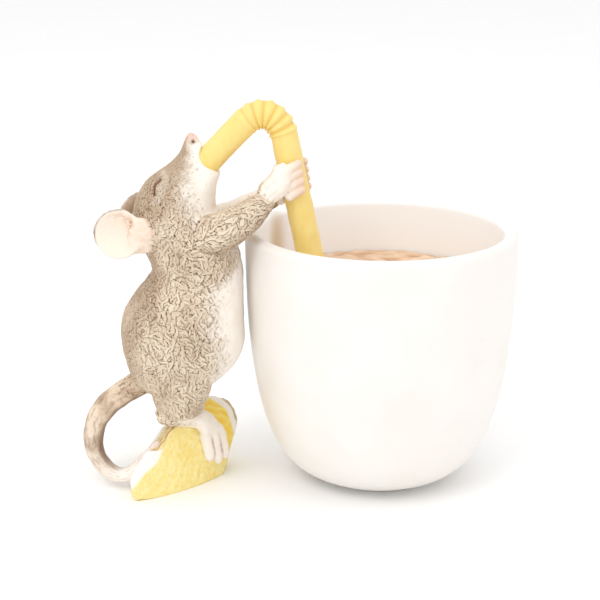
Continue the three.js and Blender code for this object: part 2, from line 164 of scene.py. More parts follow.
def outward(verts, faces):
    """The same mesh with its faces the right way out."""
    tri = np.array([f[:3] for f in faces] + [[f[0], f[2], f[3]] for f in faces if len(f) == 4])
    a, b, c = verts[tri[:, 0]], verts[tri[:, 1]], verts[tri[:, 2]]
    if np.einsum("ij,ij->i", a, np.cross(b, c)).sum() < 0:
        return [f[::-1] for f in faces]
    return faces


def remesh(parts, voxel):
    """One skin round overlapping closed forms, as square quads of side voxel."""
    verts, faces = joined([(v, outward(v, f)) for v, f in parts])
    mesh = bpy.data.meshes.new("forms")
    mesh.from_pydata(verts.tolist(), [], faces)
    obj = bpy.data.objects.new("forms", mesh)
    bpy.context.scene.collection.objects.link(obj)
    step = obj.modifiers.new("remesh", "REMESH")
    step.mode = "VOXEL"
    step.voxel_size = voxel
    done = bpy.data.meshes.new_from_object(
        obj.evaluated_get(bpy.context.evaluated_depsgraph_get()))
    co = np.zeros(len(done.vertices) * 3)
    done.vertices.foreach_get("co", co)
    quads = [list(p.vertices) for p in done.polygons]
    bpy.data.objects.remove(obj)
    bpy.data.meshes.remove(mesh)
    bpy.data.meshes.remove(done)
    return co.reshape(-1, 3), quads


def edges_of(faces):
    pairs = [np.array([(f[i], f[(i + 1) % len(f)]) for f in faces if len(f) > i])
             for i in range(4)]
    every = np.sort(np.vstack([p for p in pairs if len(p)]), axis=1)
    return np.unique(every, axis=0)


def relaxed(values, edges, rounds, factor=0.5, weight=None):
    """Laplacian smoothing of positions or of any value held at the vertices."""
    values = np.array(values, float)
    flat = values.ndim == 1
    if flat:
        values = values[:, None]
    count = len(values)
    a, b = edges[:, 0], edges[:, 1]
    degree = np.maximum(np.bincount(np.r_[a, b], minlength=count), 1)[:, None]
    share = factor if weight is None else factor * weight[:, None]
    for _ in range(rounds):
        total = np.stack([
            np.bincount(a, values[b, i], count) + np.bincount(b, values[a, i], count)
            for i in range(values.shape[1])], axis=1)
        values += share * (total / degree - values)
    return values[:, 0] if flat else values


def normals_of(verts, faces):
    quads = np.array([f if len(f) == 4 else [*f, f[0]] for f in faces])
    face = np.cross(verts[quads[:, 2]] - verts[quads[:, 0]], verts[quads[:, 3]] - verts[quads[:, 1]])
    total = np.zeros_like(verts)
    for corner in range(4):
        for i in range(3):
            total[:, i] += np.bincount(quads[:, corner], face[:, i], len(verts))
    return unit(total)


def new_mesh(name, verts, faces, material, values=None):
    mesh = bpy.data.meshes.new(name)
    mesh.from_pydata((np.asarray(verts) * MM).tolist(), [], faces)
    mesh.validate()
    mesh.shade_smooth()
    for key, value in (values or {}).items():
        mesh.attributes.new(key, "FLOAT", "POINT").data.foreach_set("value", value)
    mesh.materials.append(material)
    obj = bpy.data.objects.new(name, mesh)
    bpy.context.scene.collection.objects.link(obj)
    return obj


def add_piece(name, node, verts, faces, material, values, body="figure"):
    """A finished piece in the place of its CAD node, riding on its body."""
    obj = new_mesh(name, verts, faces, material, values)
    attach(obj, body)
    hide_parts(node)


def waves(points, scale, seed, octaves=3):
    """Smooth repeatable noise, about -1 to 1, from sums of turned sine waves.
    Each octave is 1.9 times finer than the last and 0.6 times as strong."""
    local = np.random.default_rng(seed)
    total = np.zeros(len(points))
    power = 0.0
    for octave in range(octaves):
        for _ in range(6):
            way = unit(local.normal(size=3)) * (2 * np.pi / scale) * 1.9**octave
            bend = unit(local.normal(size=3)) * (2 * np.pi / scale) * 0.6
            phase = local.uniform(0, 2 * np.pi, 2)
            weight = 0.6**octave
            total += weight * np.sin(points @ way + phase[0] + 1.3 * np.sin(points @ bend + phase[1]))
            power += weight**2
    return total / math.sqrt(power)


def drift(points, scale, seed, octaves):
    """Smooth noise along each of the three axes."""
    return np.stack([waves(points, scale, seed + i, octaves) for i in range(3)], axis=1)


def tree_of(points):
    tree = KDTree(len(points))
    for i, point in enumerate(points):
        tree.insert(point, i)
    tree.balance()
    return tree


# ---- carved strokes ----
STROKE_SPACING = 1.5   # between the middles of strokes, in half-widths
STROKE_SCATTER = 0.6   # how far strokes turn from the lie of the fur, in radians
STROKE_UNEVEN = 0.35   # how much lower some strokes are than others
PLAIN_HEIGHT = 0.55    # where there is no stroke


def strokes(verts, normals, flow, size, allowed):
    """Height of short curved carved locks, 0 in the recesses to about 1 on the ridges.
    size is [half-length, half-width] for each vertex; flow is the lie of the fur. A lock
    slopes away on one side, and is cut steep on the other, with a recess beside it."""
    tree = tree_of(verts)
    taken = np.zeros(len(verts), bool)
    height = np.full(len(verts), PLAIN_HEIGHT)
    for i in rng.permutation(len(verts)):
        if taken[i] or not allowed[i]:
            continue
        half_length, half_width = size[i]
        near = np.array([n[1] for n in tree.find_range(verts[i], half_length * 1.25)])
        away = verts[near] - verts[i]
        taken[near[norm(away) < STROKE_SPACING * half_width]] = True
        normal = normals[i]
        lie = unit(flow[i] - normal * (flow[i] @ normal))
        turn = rng.normal(0, STROKE_SCATTER)
        lie = lie * math.cos(turn) + np.cross(normal, lie) * math.sin(turn)
        side = np.cross(normal, lie)
        bend = rng.normal(0, 0.32) / half_length
        wave, lift = rng.normal(0, 0.8), rng.uniform(0, STROKE_UNEVEN)
        groove = rng.uniform(0, 0.24)
        length = half_length * rng.uniform(0.55, 1.1)
        s, t = away @ lie, away @ side
        t = t - bend * s * s - wave * half_width * np.sin(3.2 * s / half_length)
        taper = np.clip(1 - (s / length)**2, 0, 1)
        across = np.abs(t) / (half_width * (0.35 + 0.65 * np.sqrt(taper)))
        cut = np.clip(1 - across**4, 0, 1) * taper**0.2
        slope = 1 - 0.38 * across**2
        ridge = np.where(t > 0, cut, slope) * (1 - STROKE_UNEVEN + lift)
        ridge = groove + (1 - groove) * ridge
        reach = np.where(t > 0, 1.32, 0.95)
        over = (across < reach) & (np.abs(s) < length) & (normals[near] @ normal > 0.2)
        height[near[over]] = ridge[over]
    return height


# ---- cup ----
CUP_FOOT = [[0, 1.2], [13, 1.2], [15.2, 0.9], [16.2, 0.25], [16.8, 0], [18.2, 0], [18.9, 0.2],
            [19.2, 0.6]]
SHADE_PLACE = [-31.8, 18.6, 70.0]  # where a brown shadow is painted on the inside of the wall, beside the straw


def cup_radius(z):
    depth = (CUP_HEIGHT - np.clip(z, 0, CUP_HEIGHT)) / CUP_HEIGHT
    return CUP_RADIUS * np.clip(1 - depth**2.5, 0, 1)**(1 / 4.5)


def inner_radius(z):
    """Inside radius of the cup at a height."""
    lip = CUP_HEIGHT - CUP_WALL / 2
    below = (z - CUP_FLOOR) / (1 - CUP_FLOOR / lip)
    return cup_radius(below) - CUP_WALL


def revolve(profile, around):
    """A closed turned form; the profile runs from the axis to the axis."""
    profile = np.array(profile)
    angle = np.linspace(0, 2 * np.pi, around, endpoint=False)
    body = profile[1:-1]
    verts = np.stack([body[:, :1] * np.cos(angle), body[:, :1] * np.sin(angle),
                      np.repeat(body[:, 1:], around, 1)], axis=2).reshape(-1, 3)
    count = len(verts)
    verts = np.vstack([verts, [0, 0, profile[0][1]], [0, 0, profile[-1][1]]])
    faces = ring_faces(len(body), around) + end_fans(around, len(body), count, count + 1)
    return verts, outward(verts, faces)


def make_cup(material):
    lip, lip_z = CUP_WALL / 2, CUP_HEIGHT - CUP_WALL / 2
    profile = list(CUP_FOOT)
    for t in np.linspace(0, 1, 60):
        z = 1.25 + (lip_z - 1.25) * t**1.7
        profile.append([cup_radius(z), z])
    for angle in np.linspace(0, np.pi, 16)[1:-1]:
        profile.append([CUP_RADIUS - lip + lip * math.cos(angle), lip_z + lip * math.sin(angle)])
    for t in np.linspace(1, 0, 60)[:-1]:
        z = CUP_FLOOR + (lip_z - CUP_FLOOR) * t**1.7
        if inner_radius(z) > 11:
            profile.append([inner_radius(z), z])
    profile += [[8, CUP_FLOOR + 0.1], [0, CUP_FLOOR]]
    verts, faces = revolve(profile, 180)
    out = unit(verts * [1, 1, 0])
    uneven = 0.10 * waves(verts, 46, 3, 2) * smoothstep(2, 14, verts[:, 2])
    verts = verts + out * np.minimum(uneven, 0.05)[:, None]
    # inner marks the inside of the wall, which the glaze paints lighter and bluer than the outside:
    # painted light
    inner = smoothstep(1.2, 3.0, cup_radius(verts[:, 2]) - norm(verts[:, :2]))
    inner = inner * smoothstep(3, 5, verts[:, 2])
    # tan is a painted shadow: a brown patch on the inside of the wall beside the straw
    tan = inner * smoothstep(7.0, 0.5, norm((verts - SHADE_PLACE) * [1, 1, 0.4]))
    add_piece("cup_shell", "cup", verts, faces, material,
              {"inner": inner, "tan": tan}, body="cup")


def straw_centre(z):
    return STRAW_REFERENCE + STRAW_LEAN * ((z - STRAW_REFERENCE[2]) / STRAW_LEAN[2])


def make_drink(material):
    """A ring of set drink between the straw's sleeve and the cup's wall."""
    around, rings, sides = 220, 84, 10
    angle = np.linspace(0, 2 * np.pi, around, endpoint=False)
    way = np.stack([np.cos(angle), np.sin(angle)], axis=1)
    hole = STRAW_RADIUS + SLEEVE_CLEARANCE - 0.25

    def wall(z, centre):
        """Distance from the sleeve's centre to the cup's wall each way round."""
        radius = float(inner_radius(z)) - 0.5
        along = way @ centre[:2]
        return -along + np.sqrt(along**2 - centre[:2] @ centre[:2] + radius**2)

    def row(z, share):
        centre = straw_centre(z)
        start = hole * np.sqrt(1 + 0.045 * way[:, 0]**2)
        reach = start + (wall(z, centre) - start) * share
        flat = centre[:2] + way * reach[:, None]
        return np.column_stack([flat, np.full(around, z)])

    rows = [row(DRINK_LEVEL, t) for t in np.linspace(0, 1, rings)]
    rows += [row(z, 1.0) for z in np.linspace(DRINK_LEVEL, DRINK_BOTTOM, sides)[1:]]
    rows += [row(DRINK_BOTTOM, t) for t in np.linspace(1, 0, 24)[1:]]
    rows += [row(z, 0.0) for z in np.linspace(DRINK_BOTTOM, DRINK_LEVEL, sides)[1:-1]]
    verts = np.vstack(rows)
    top = np.zeros(len(verts))
    top[: rings * around] = 1
    lumps = waves(verts, 7.5, 11, 2)
    lumps = 0.55 * np.abs(lumps)**0.7 * np.sign(lumps) + 0.20 * waves(verts, 2.6, 12, 2)
    spread = np.hypot(verts[:, 0], verts[:, 1]) / 36
    verts[:, 2] += top * (1.0 + lumps * 0.8 - 0.5 * spread**4)
    faces = ring_faces(len(rows), around, closed=True)
    add_piece("drink_fill", "drink", verts, outward(verts, faces), material,
              {"height": np.clip(0.5 + lumps * 0.6, 0, 1) * top}, body="cup")


# ---- straw ----
STRAW_BEND = [
    [-54.4, 98.8], [-50.8, 102.6], [-46.3, 107.4], [-41.9, 112.0], [-39.3, 114.4],
    [-36.3, 115.7], [-33.0, 115.0], [-30.7, 112.7], [-29.3, 109.6], [-28.6, 106.2],
    [-27.8, 102.0],
]
RIB_START, RIB_PITCH, RIB_COUNT = 16.5, 2.35, 8
RIB_HEIGHT = 0.62
BEND_HEART = np.array([-39.5, FIGURE_Y, 98.0])
# The open lower end, a rim, a short bore and its floor: the share of the last ring's size,
# and how far past that ring.
STRAW_MOUTH = [(0.97, 0.12), (0.90, 0.16), (0.83, 0.05), (0.80, -0.6), (0.78, -3.0)]


def straw_line():
    points = [[x, FIGURE_Y, z] for x, z in STRAW_BEND]
    points += [straw_centre(z) for z in (92, 82, 72, 62, STRAW_END)]
    line = catmull(points, np.linspace(0, 1, 1500))
    run = np.r_[0, np.cumsum(np.linalg.norm(np.diff(line, axis=0), axis=1))]
    steps = np.arange(0, run[-1], 0.22)
    return np.stack([np.interp(steps, run, line[:, i]) for i in range(3)], axis=1), steps


def make_straw(material):
    line, run = straw_line()
    for i in (0, 2):
        line[:, i] = np.convolve(np.pad(line[:, i], 12, "edge"), np.ones(25) / 25, "valid")
    _, across, deep = section_frames(line)
    around = 72
    phase = (run - RIB_START) / RIB_PITCH
    inside = smoothstep(0, 3.4, phase) * smoothstep(RIB_COUNT, RIB_COUNT - 0.4, phase)
    saw = phase - np.floor(phase)
    crest = np.where(saw < 0.62, saw / 0.62, (1 - saw) / 0.38)**1.5
    radius = STRAW_RADIUS + inside * (crest * RIB_HEIGHT - 0.14)
    rings = rings_round(line, across, deep, radius, radius, around)
    way = unit(line[-1] - line[-2])
    mouth = [line[-1] + (rings[-1] - line[-1]) * size + way * depth for size, depth in STRAW_MOUTH]
    verts = np.vstack([rings.reshape(-1, 3), *mouth, line[0], line[-1] - way * 3.0])
    rows = len(line) + len(STRAW_MOUTH)
    faces = ring_faces(rows, around) + end_fans(around, rows, len(verts) - 2, len(verts) - 1)
    # groove marks the valleys between the ribs, where painted shade goes
    groove = np.repeat(inside * smoothstep(0.30, 0.0, crest), around)
    groove = np.r_[groove, np.zeros(len(verts) - len(groove))]
    verts = verts + normals_of(verts, faces) * (0.06 * waves(verts, 7, 5, 2))[:, None]
    # under marks the inside of the bend, where painted shade goes
    under = smoothstep(0.35, 1.0, dot(normals_of(verts, faces), unit(BEND_HEART - verts)))
    add_piece("straw_tube", "straw", verts, faces, material,
              {"groove": groove, "under": under})


# ---- mouse ----
BODY_LINE = [
    [-60.9, 97.0, 0, 0], [-60.9, 95.0, 6.5, 6.5], [-61.1, 91.5, 10.6, 10.2],
    [-61.6, 87.0, 12.3, 12.1], [-60.8, 83.0, 12.6, 12.3],
    [-59.0, 79.0, 12.6, 12.4], [-57.0, 75.0, 13.0, 12.8], [-55.6, 70.6, 13.4, 13.2],
    [-55.6, 66.0, 14.0, 13.8], [-56.6, 61.0, 15.4, 15.0], [-58.2, 55.6, 17.4, 16.2],
    [-59.9, 50.0, 18.8, 17.0], [-61.5, 44.6, 18.0, 16.8], [-62.8, 39.6, 15.8, 15.4],
    [-63.6, 35.0, 12.6, 12.4], [-63.2, 31.4, 7.0, 7.5], [-63.0, 29.8, 0, 0],
]
# The head above the neck in level rings: x, z, half width, half depth.
HEAD_RINGS = [
    [-56.7, 110.3, 0, 0], [-56.5, 109.6, 1.15, 1.15], [-56.3, 108.3, 1.95, 1.9],
    [-56.15, 106.4, 2.8, 2.6], [-56.07, 104.4, 3.8, 3.4], [-56.11, 102.2, 5.55, 4.75],
    [-56.63, 100.0, 7.6, 6.55], [-57.82, 98.0, 9.43, 8.4], [-59.22, 96.0, 10.52, 9.6],
    [-60.22, 94.0, 11.06, 10.3], [-60.99, 92.0, 11.42, 10.85], [-61.42, 90.0, 11.76, 11.3],
    [-61.55, 87.5, 12.05, 11.7], [-61.4, 85.0, 12.0, 11.8], [-61.2, 83.0, 0, 0],
]
ARM_LINES = {
    "right": [[-57.5, -15.0, 77.5, 0, 0], [-55.5, -16.5, 79.0, 5.0, 4.6],
              [-50.5, -18.2, 81.2, 6.2, 4.9], [-45.0, -18.6, 83.6, 5.5, 4.4],
              [-40.0, -18.0, 86.8, 4.7, 4.0], [-37.0, -16.8, 89.2, 3.9, 3.6],
              [-34.2, -15.8, 91.4, 2.7, 2.7], [-32.0, -15.2, 93.4, 0, 0]],
    "left": [[-57.5, -5.0, 76.0, 0, 0], [-55.5, -3.6, 77.6, 5.0, 4.6],
             [-50.5, -2.6, 80.9, 5.4, 5.0], [-45.0, -2.8, 83.5, 4.6, 4.6],
             [-40.0, -3.4, 86.2, 4.1, 4.0], [-36.0, -4.2, 88.4, 3.7, 3.6],
             [-32.6, -4.8, 90.4, 3.3, 3.2], [-30.0, -5.2, 92.6, 0, 0]],
}
LEG_LINE = [[-58.0, 6.5, 45.5, 0, 0], [-59.0, 7.4, 42.0, 7.5, 6.2], [-60.2, 7.6, 36.5, 9.0, 7.2],
            [-61.0, 6.8, 31.0, 8.4, 6.2], [-61.0, 5.8, 27.0, 7.2, 5.0],
            [-60.8, 5.2, 24.6, 6.0, 4.2], [-60.8, 5.0, 23.6, 0, 0]]
SIDES = {"right": -1, "left": 1}


def in_middle(rows):
    """Stations on the mouse's middle plane, from rows of x, z, half width, half depth."""
    return [[x, FIGURE_Y, z, across, deep] for x, z, across, deep in rows]


def on_side(rows, side, drop=0.0):
    """Stations on one side of it, from rows of x, distance from the plane, z and sizes."""
    return [[x, FIGURE_Y + side * spread, z + drop, *size] for x, spread, z, *size in rows]


BODY_STATIONS = in_middle(BODY_LINE)


def distance_to(points, stations, samples=70):
    """About how far points are outside a lofted form: negative inside."""
    table = np.array(stations, float)
    t = np.linspace(0.02, 0.98, samples)
    line, girth = catmull(table[:, :3], t), np.maximum(catmull(table[:, 3:5], t), 0.3)
    tangent, across, deep = section_frames(line)
    best = np.full(len(points), 1e9)
    for i in range(samples):
        away = points - line[i]
        a, d, e = away @ across[i], away @ deep[i], away @ tangent[i]
        mean = math.sqrt(girth[i, 0] * girth[i, 1])
        flat = (np.sqrt((a / girth[i, 0])**2 + (d / girth[i, 1])**2) - 1) * mean
        beyond = np.maximum(np.abs(e) - 0.6, 0)
        best = np.minimum(best, np.where(beyond > 0, np.hypot(np.maximum(flat, 0), beyond), flat))
    return best


# Where the pale front begins, as degrees round from the mouse's side towards its front,
# at each height.
PALE_EDGE = np.array([
    [28, 52], [38.8, 48], [48, 36], [56.3, 28], [65, 24], [69, 44], [71, 60], [74, 76], [78, 66],
    [81.5, 42], [83.7, 37], [85.7, 34], [87.6, 29], [90.8, 24], [93.9, 15], [96, 8],
    [98.8, 0], [101.3, -8], [103.8, -10], [105.7, -15], [107.4, -19], [109, -5], [110.5, 20],
])


def body_angle(verts):
    """Degrees round the body: 0 at its side, 90 at its front, -90 at its back."""
    table = np.array(HEAD_RINGS[:-2] + BODY_LINE[4:], float)[::-1]
    centre = np.interp(verts[:, 2], table[:, 1], table[:, 0])
    across = np.interp(verts[:, 2], table[:, 1], np.maximum(table[:, 2], 1.5))
    deep = np.interp(verts[:, 2], table[:, 1], np.maximum(table[:, 3], 1.5))
    return np.degrees(np.arctan2((verts[:, 0] - centre) / across,
                                 np.abs(verts[:, 1] - FIGURE_Y) / deep))


def capped(verts, faces, values):
    """Closes each hole of a mesh with a fan to a point a little way inside."""
    heart = verts.mean(axis=0)
    quads = np.array(faces)
    directed = np.vstack([quads[:, [i, (i + 1) % 4]] for i in range(4)])
    known = set(map(tuple, directed.tolist()))
    follow = {b: a for a, b in known if (b, a) not in known}
    verts = verts.tolist()
    added = 0
    while follow:
        start = next(iter(follow))
        loop = [start]
        while follow.get(loop[-1]) not in (None, start):
            loop.append(follow.pop(loop[-1]))
        follow.pop(loop[-1], None)
        if len(loop) < 3:
            continue
        middle = np.mean([verts[i] for i in loop], axis=0)
        verts.append((middle + unit(heart - middle) * 0.3).tolist())
        added += 1
        centre = len(verts) - 1
        faces += [[a, b, centre] for a, b in zip(loop, loop[1:] + loop[:1])]
    values = {k: np.r_[v, np.zeros(added)] for k, v in values.items()}
    return np.array(verts), faces, values


def largest_patch(faces, count):
    """Faces of the biggest connected patch."""
    quads = np.array(faces)
    label = np.arange(count)
    while True:
        low = label[quads].min(axis=1)
        new = label.copy()
        for i in range(4):
            np.minimum.at(new, quads[:, i], low)
        new = new[new]
        if (new == label).all():
            break
        label = new
    names, sizes = np.unique(label[quads[:, 0]], return_counts=True)
    return quads[label[quads[:, 0]] == names[sizes.argmax()]]


def off_cup(verts):
    """Moves points that would be in the cup's wall out or up, whichever is less."""
    verts = verts.copy()
    radius = norm(verts[:, :2])
    limit = cup_radius(verts[:, 2]) + CLEARANCE
    top = CUP_HEIGHT + CLEARANCE
    out, up = limit - radius, top - verts[:, 2]
    held = (out > 0) & (up > 0) & (radius > CUP_RADIUS - 12)
    move_out = held & (out <= up)
    verts[move_out, :2] *= (limit / radius)[move_out, None]
    verts[held & ~move_out, 2] = top
    return verts


def off_straw(verts, gap=0.12):
    """Moves points that would be in the straw's lower limb out to its wall."""
    away = verts - STRAW_REFERENCE
    axial = (away @ STRAW_LEAN)[:, None] * STRAW_LEAN
    radial = away - axial
    limit = STRAW_RADIUS + gap
    inside = norm(radial) < limit
    verts = verts.copy()
    verts[inside] = (STRAW_REFERENCE + axial + unit(radial) * limit)[inside]
    return verts


EYE_SLIT = [[-66.9, -18.6, 93.5], [-66.9, -17.7, 94.9], [-66.8, -16.9, 95.8],
            [-66.2, -16.6, 96.5], [-65.2, -16.3, 97.4]]
NOSTRIL = [-55.7, -11.9, 107.8]
NOSE = np.array([-56.4, FIGURE_Y, 110.6])
MOUTH = np.array([-54.4, FIGURE_Y, 98.8])
MOUTH_WAY = unit([8.1, 0, 8.6])  # out of the mouth, along the straw
FUR_DEPTH, HEAD_FUR_DEPTH = 0.50, 0.26
CASTINGS = ("torso", "head", "right_arm", "left_arm", "right_leg", "left_leg")


def line_distance(points, line, samples=40):
    dense = catmull(line, np.linspace(0, 1, samples))
    return np.min(np.linalg.norm(points[:, None] - dense[None], axis=2), axis=1)


def both_sides(points):
    """The same points and their twins across the mouse's middle plane."""
    points = np.array(points, float)
    twin = points * [1, -1, 1] + [0, 2 * FIGURE_Y, 0]
    return [points, twin]


def mouse_form():
    """The mouse as one skin, and how far its points are outside its body and each limb."""
    legs = {name: on_side(LEG_LINE, side) for name, side in SIDES.items()}
    forms = [loft(BODY_STATIONS, 96, 240), loft(in_middle(HEAD_RINGS), 96, 200, level=True)]
    forms += [loft(stations, 48, 90) for stations in (*ARM_LINES.values(), *legs.values())]
    verts, faces = remesh(forms, 0.24)
    edges = edges_of(faces)
    verts = relaxed(verts, edges, 20)
    outside = {"body": distance_to(verts, BODY_STATIONS)}
    for name in SIDES:
        outside[f"{name}_arm"] = distance_to(verts, ARM_LINES[name])
        outside[f"{name}_leg"] = distance_to(verts, legs[name])
    return verts, faces, edges, {k: relaxed(v, edges, 12) for k, v in outside.items()}


def pale_zone(verts, normals, on_arm, on_leg):
    """1 on the pale muzzle, throat and belly and the upper side of the far arm, 0 on the coat."""
    ragged = waves(verts, 9, 21, 3) * 4 + waves(verts, 2.2, 22, 2) * 5
    edge = np.interp(verts[:, 2], PALE_EDGE[:, 0], PALE_EDGE[:, 1])
    soft_edge = 20 + 12 * smoothstep(80, 92, verts[:, 2])
    pale = smoothstep(-soft_edge, soft_edge + 4, body_angle(verts) - edge + ragged)
    far_arm = smoothstep(-14.5, -9.5, verts[:, 1])
    arm_pale = smoothstep(-0.1, 0.7, normals[:, 2] - 0.2) * far_arm
    return pale * (1 - on_arm) * (1 - 0.9 * on_leg) + on_arm * np.maximum(arm_pale, 0)


def carved_face(verts, pale):
    """Eyelids, eye slits, nostrils and lips: how far each point moves, how dark it is, how
    near it is to an eyelid, and the pale zone with the skin below the eyes added to it."""
    shift, dark, lids = np.zeros((3, len(verts)))
    head = verts[:, 2] > 84
    for slit in both_sides(EYE_SLIT):
        d = np.full(len(verts), 99.0)
        own_side = np.sign(verts[head, 1:2] - FIGURE_Y) == np.sign(slit[0, 1] - FIGURE_Y)
        flat = np.where(own_side, [1, 0.35, 1], [1, 9.0, 1])
        d[head] = line_distance(verts[head] * flat, slit * flat[0])
        shift += 0.28 * hump(d, 2.0) - 0.85 * hump(d, 0.38)
        dark = np.maximum(dark, hump(d, 0.31) * 1.2)
        lids = np.maximum(lids, hump(d, 2.4))
        behind = smoothstep(0.3, 1.2, (slit[1] - verts) @ unit([0.9, 0, -0.3]))
        for gap, depth in ((1.25, 0.55), (2.2, 0.35)):
            fold = hump(d - gap, 0.2) * behind
            shift -= 0.3 * depth * fold
            dark = np.maximum(dark, depth * fold)
        before = smoothstep(0, 1.2, (verts - slit[1]) @ unit([0.8, 0, -0.2]))
        pale = np.maximum(pale, 0.22 * hump(d - 1.9, 0.9) * before)
    for nostril in both_sides([NOSTRIL]):
        d = norm(verts - nostril[0])
        shift -= 0.5 * hump(d, 0.6)
        dark = np.maximum(dark, 1.2 * hump(d, 0.62))
    away = verts - MOUTH
    from_straw = norm(away - (away @ MOUTH_WAY)[:, None] * MOUTH_WAY)
    front = (away @ MOUTH_WAY) > 0
    shift += front * head * (0.35 * hump(from_straw - 5.0, 0.7) - 0.5 * hump(from_straw - 4.1, 0.35))
    return shift, dark, lids, pale


def coat_flow(verts, on_arm):
    """The lie of the fur: down the body, back from the nose and up the arms."""
    low = np.array([0.25, 0, -1.0]) + 0.55 * drift(verts, 13, 31, 2)
    head = unit(verts - NOSE) + 0.4 * drift(verts, 12, 34, 1)
    arm = unit([-0.8, 0, -0.55]) + 0.5 * drift(verts, 9, 37, 1)
    up = smoothstep(76, 88, verts[:, 2])[:, None]
    flow = low * (1 - up) + head * up
    return flow * (1 - on_arm[:, None]) + arm * on_arm[:, None]


def split_castings(verts, faces, outside, values, material):
    """One closed piece for each casting of the mouse."""
    quads = np.array(faces)

    def mean(value):
        return value[quads].mean(axis=1)

    body = mean(outside["body"])
    label = np.where(mean((verts - NECK_POINT) @ NECK_WAY) > 0, "head", "torso").astype("U12")
    for name, side in SIDES.items():
        own_side = side * (mean(verts[:, 1]) - FIGURE_Y) > 0
        shin = (mean(verts[:, 2]) < SHIN_HEIGHT) & own_side
        label[shin & (mean(outside[f"{name}_leg"]) < body + 0.8)] = f"{name}_leg"
        label[(mean(outside[f"{name}_arm"]) < body - 0.25) & own_side] = f"{name}_arm"
    for name in CASTINGS:
        patch = largest_patch(quads[label == name], len(verts))
        used, renumbered = np.unique(patch, return_inverse=True)
        piece = capped(verts[used], renumbered.reshape(patch.shape).tolist(),
                       {k: v[used] for k, v in values.items()})
        add_piece(f"{name}_casting", name, piece[0], piece[1], material, piece[2])


def make_mouse(material):
    verts, faces, edges, outside = mouse_form()
    normals = normals_of(verts, faces)
    arm = np.minimum(outside["right_arm"], outside["left_arm"])
    leg = np.minimum(outside["right_leg"], outside["left_leg"])
    on_arm = smoothstep(0.8, -0.8, arm - outside["body"])
    on_leg = smoothstep(0.6, -0.6, leg - outside["body"])
    nose = norm(verts - NOSE)
    pale = pale_zone(verts, normals, on_arm, on_leg)
    shift, dark, lids, pale = carved_face(verts, pale)

    # the carved coat
    fine = smoothstep(80, 93, verts[:, 2]) * (1 - on_arm)
    size = np.stack([1.75 - 0.5 * fine, 0.43 - 0.08 * fine], axis=1)
    allowed = (pale < 0.97) & (nose > 2)
    coat = strokes(verts, normals, coat_flow(verts, on_arm), size, allowed)
    furred = relaxed(smoothstep(1.0, 0.45, pale) * smoothstep(1.5, 4.5, nose), edges, 4)
    depth = FUR_DEPTH + (HEAD_FUR_DEPTH - FUR_DEPTH) * fine
    shift += (coat - 0.62) * depth * furred * (1 - np.clip(dark * 1.2, 0, 1))
    shift += 0.10 * waves(verts, 6, 41, 2) * (1 - furred)
    verts = off_cup(verts + normals * shift[:, None])

    # what the paint follows: the height of the coat, flecks on the pale parts, and darker colour:
    # painted shade down the back and under the arms, darker over the brow, a darker wash round the
    # eyes, and random patches
    height = coat + (PLAIN_HEIGHT - coat) * 0.65 * smoothstep(19, 9, nose)
    height = height * furred + (1 - furred) * (0.6 + 0.3 * pale)
    speckle = waves(verts, 1.5, 51, 2) + 0.45 * smoothstep(80, 92, verts[:, 2])
    flecks = smoothstep(1.2, 1.9, speckle) * smoothstep(0.2, 0.6, pale) * smoothstep(1.0, 0.9, pale)
    # painted shade down the back
    back = smoothstep(-22, -68, body_angle(verts))
    brow = smoothstep(80, 95, verts[:, 2]) * (1 - pale) * smoothstep(4, 14, nose) * (1 - on_arm)
    # painted shade on the undersides of the arms
    shade_under_arms = on_arm * smoothstep(0.1, -0.75, normals[:, 2])
    patchy = 0.35 * waves(verts, 15, 52, 2) * (1 - pale)
    shade_and_wash = np.clip(0.9 * shade_under_arms + 0.85 * back + 1.0 * brow + 0.8 * lids + patchy, 0, 1)
    values = {"coat": height, "pale": np.clip(pale, 0, 1), "pink": smoothstep(5.2, 1.6, nose),
              "dark": np.clip(dark, 0, 1), "fleck": flecks, "shade_and_wash": shade_and_wash}
    split_castings(verts, faces, outside, values, material)


# ---- ears ----
EARS = {
    "right": {"centre": [-77.2, -20.4, 82.2], "facing": [-0.12, -0.96, 0.24],
              "root": [[-75.0, -20.2, 81.9, 0, 0], [-73.4, -20.3, 81.8, 5.0, 2.2],
                       [-71.4, -19.9, 81.5, 5.5, 3.1], [-68.8, -18.6, 81.1, 5.2, 3.5],
                       [-65.8, -16.6, 80.7, 4.2, 3.3], [-63.0, -14.6, 80.4, 0, 0]]},
    "left": {"centre": [-74.4, 1.6, 82.5], "facing": [-0.78, 0.6, 0.16],
             "root": [[-75.0, 1.4, 83.6, 0, 0], [-73.6, 0.6, 83.6, 3.6, 2.2],
                      [-71.4, -1.4, 83.2, 4.2, 2.8], [-69.0, -3.6, 82.6, 4.4, 3.2],
                      [-65.5, -6.5, 82.0, 0, 0]]},
}
# A line of brown stain near the root, from the ear's centre.
EAR_STAIN = np.array([[-1.6, -0.6, 4.6], [1.4, -0.4, 4.1], [3.3, -0.2, 2.9], [3.9, 0, 0.2]])


def turned_to(verts, facing):
    """Turns a form that faces up so that it faces another way."""
    facing = unit(facing)
    across = unit(np.cross([0, 0, 1.0], facing))
    other = np.cross(facing, across)
    return verts @ np.array([across, other, facing])


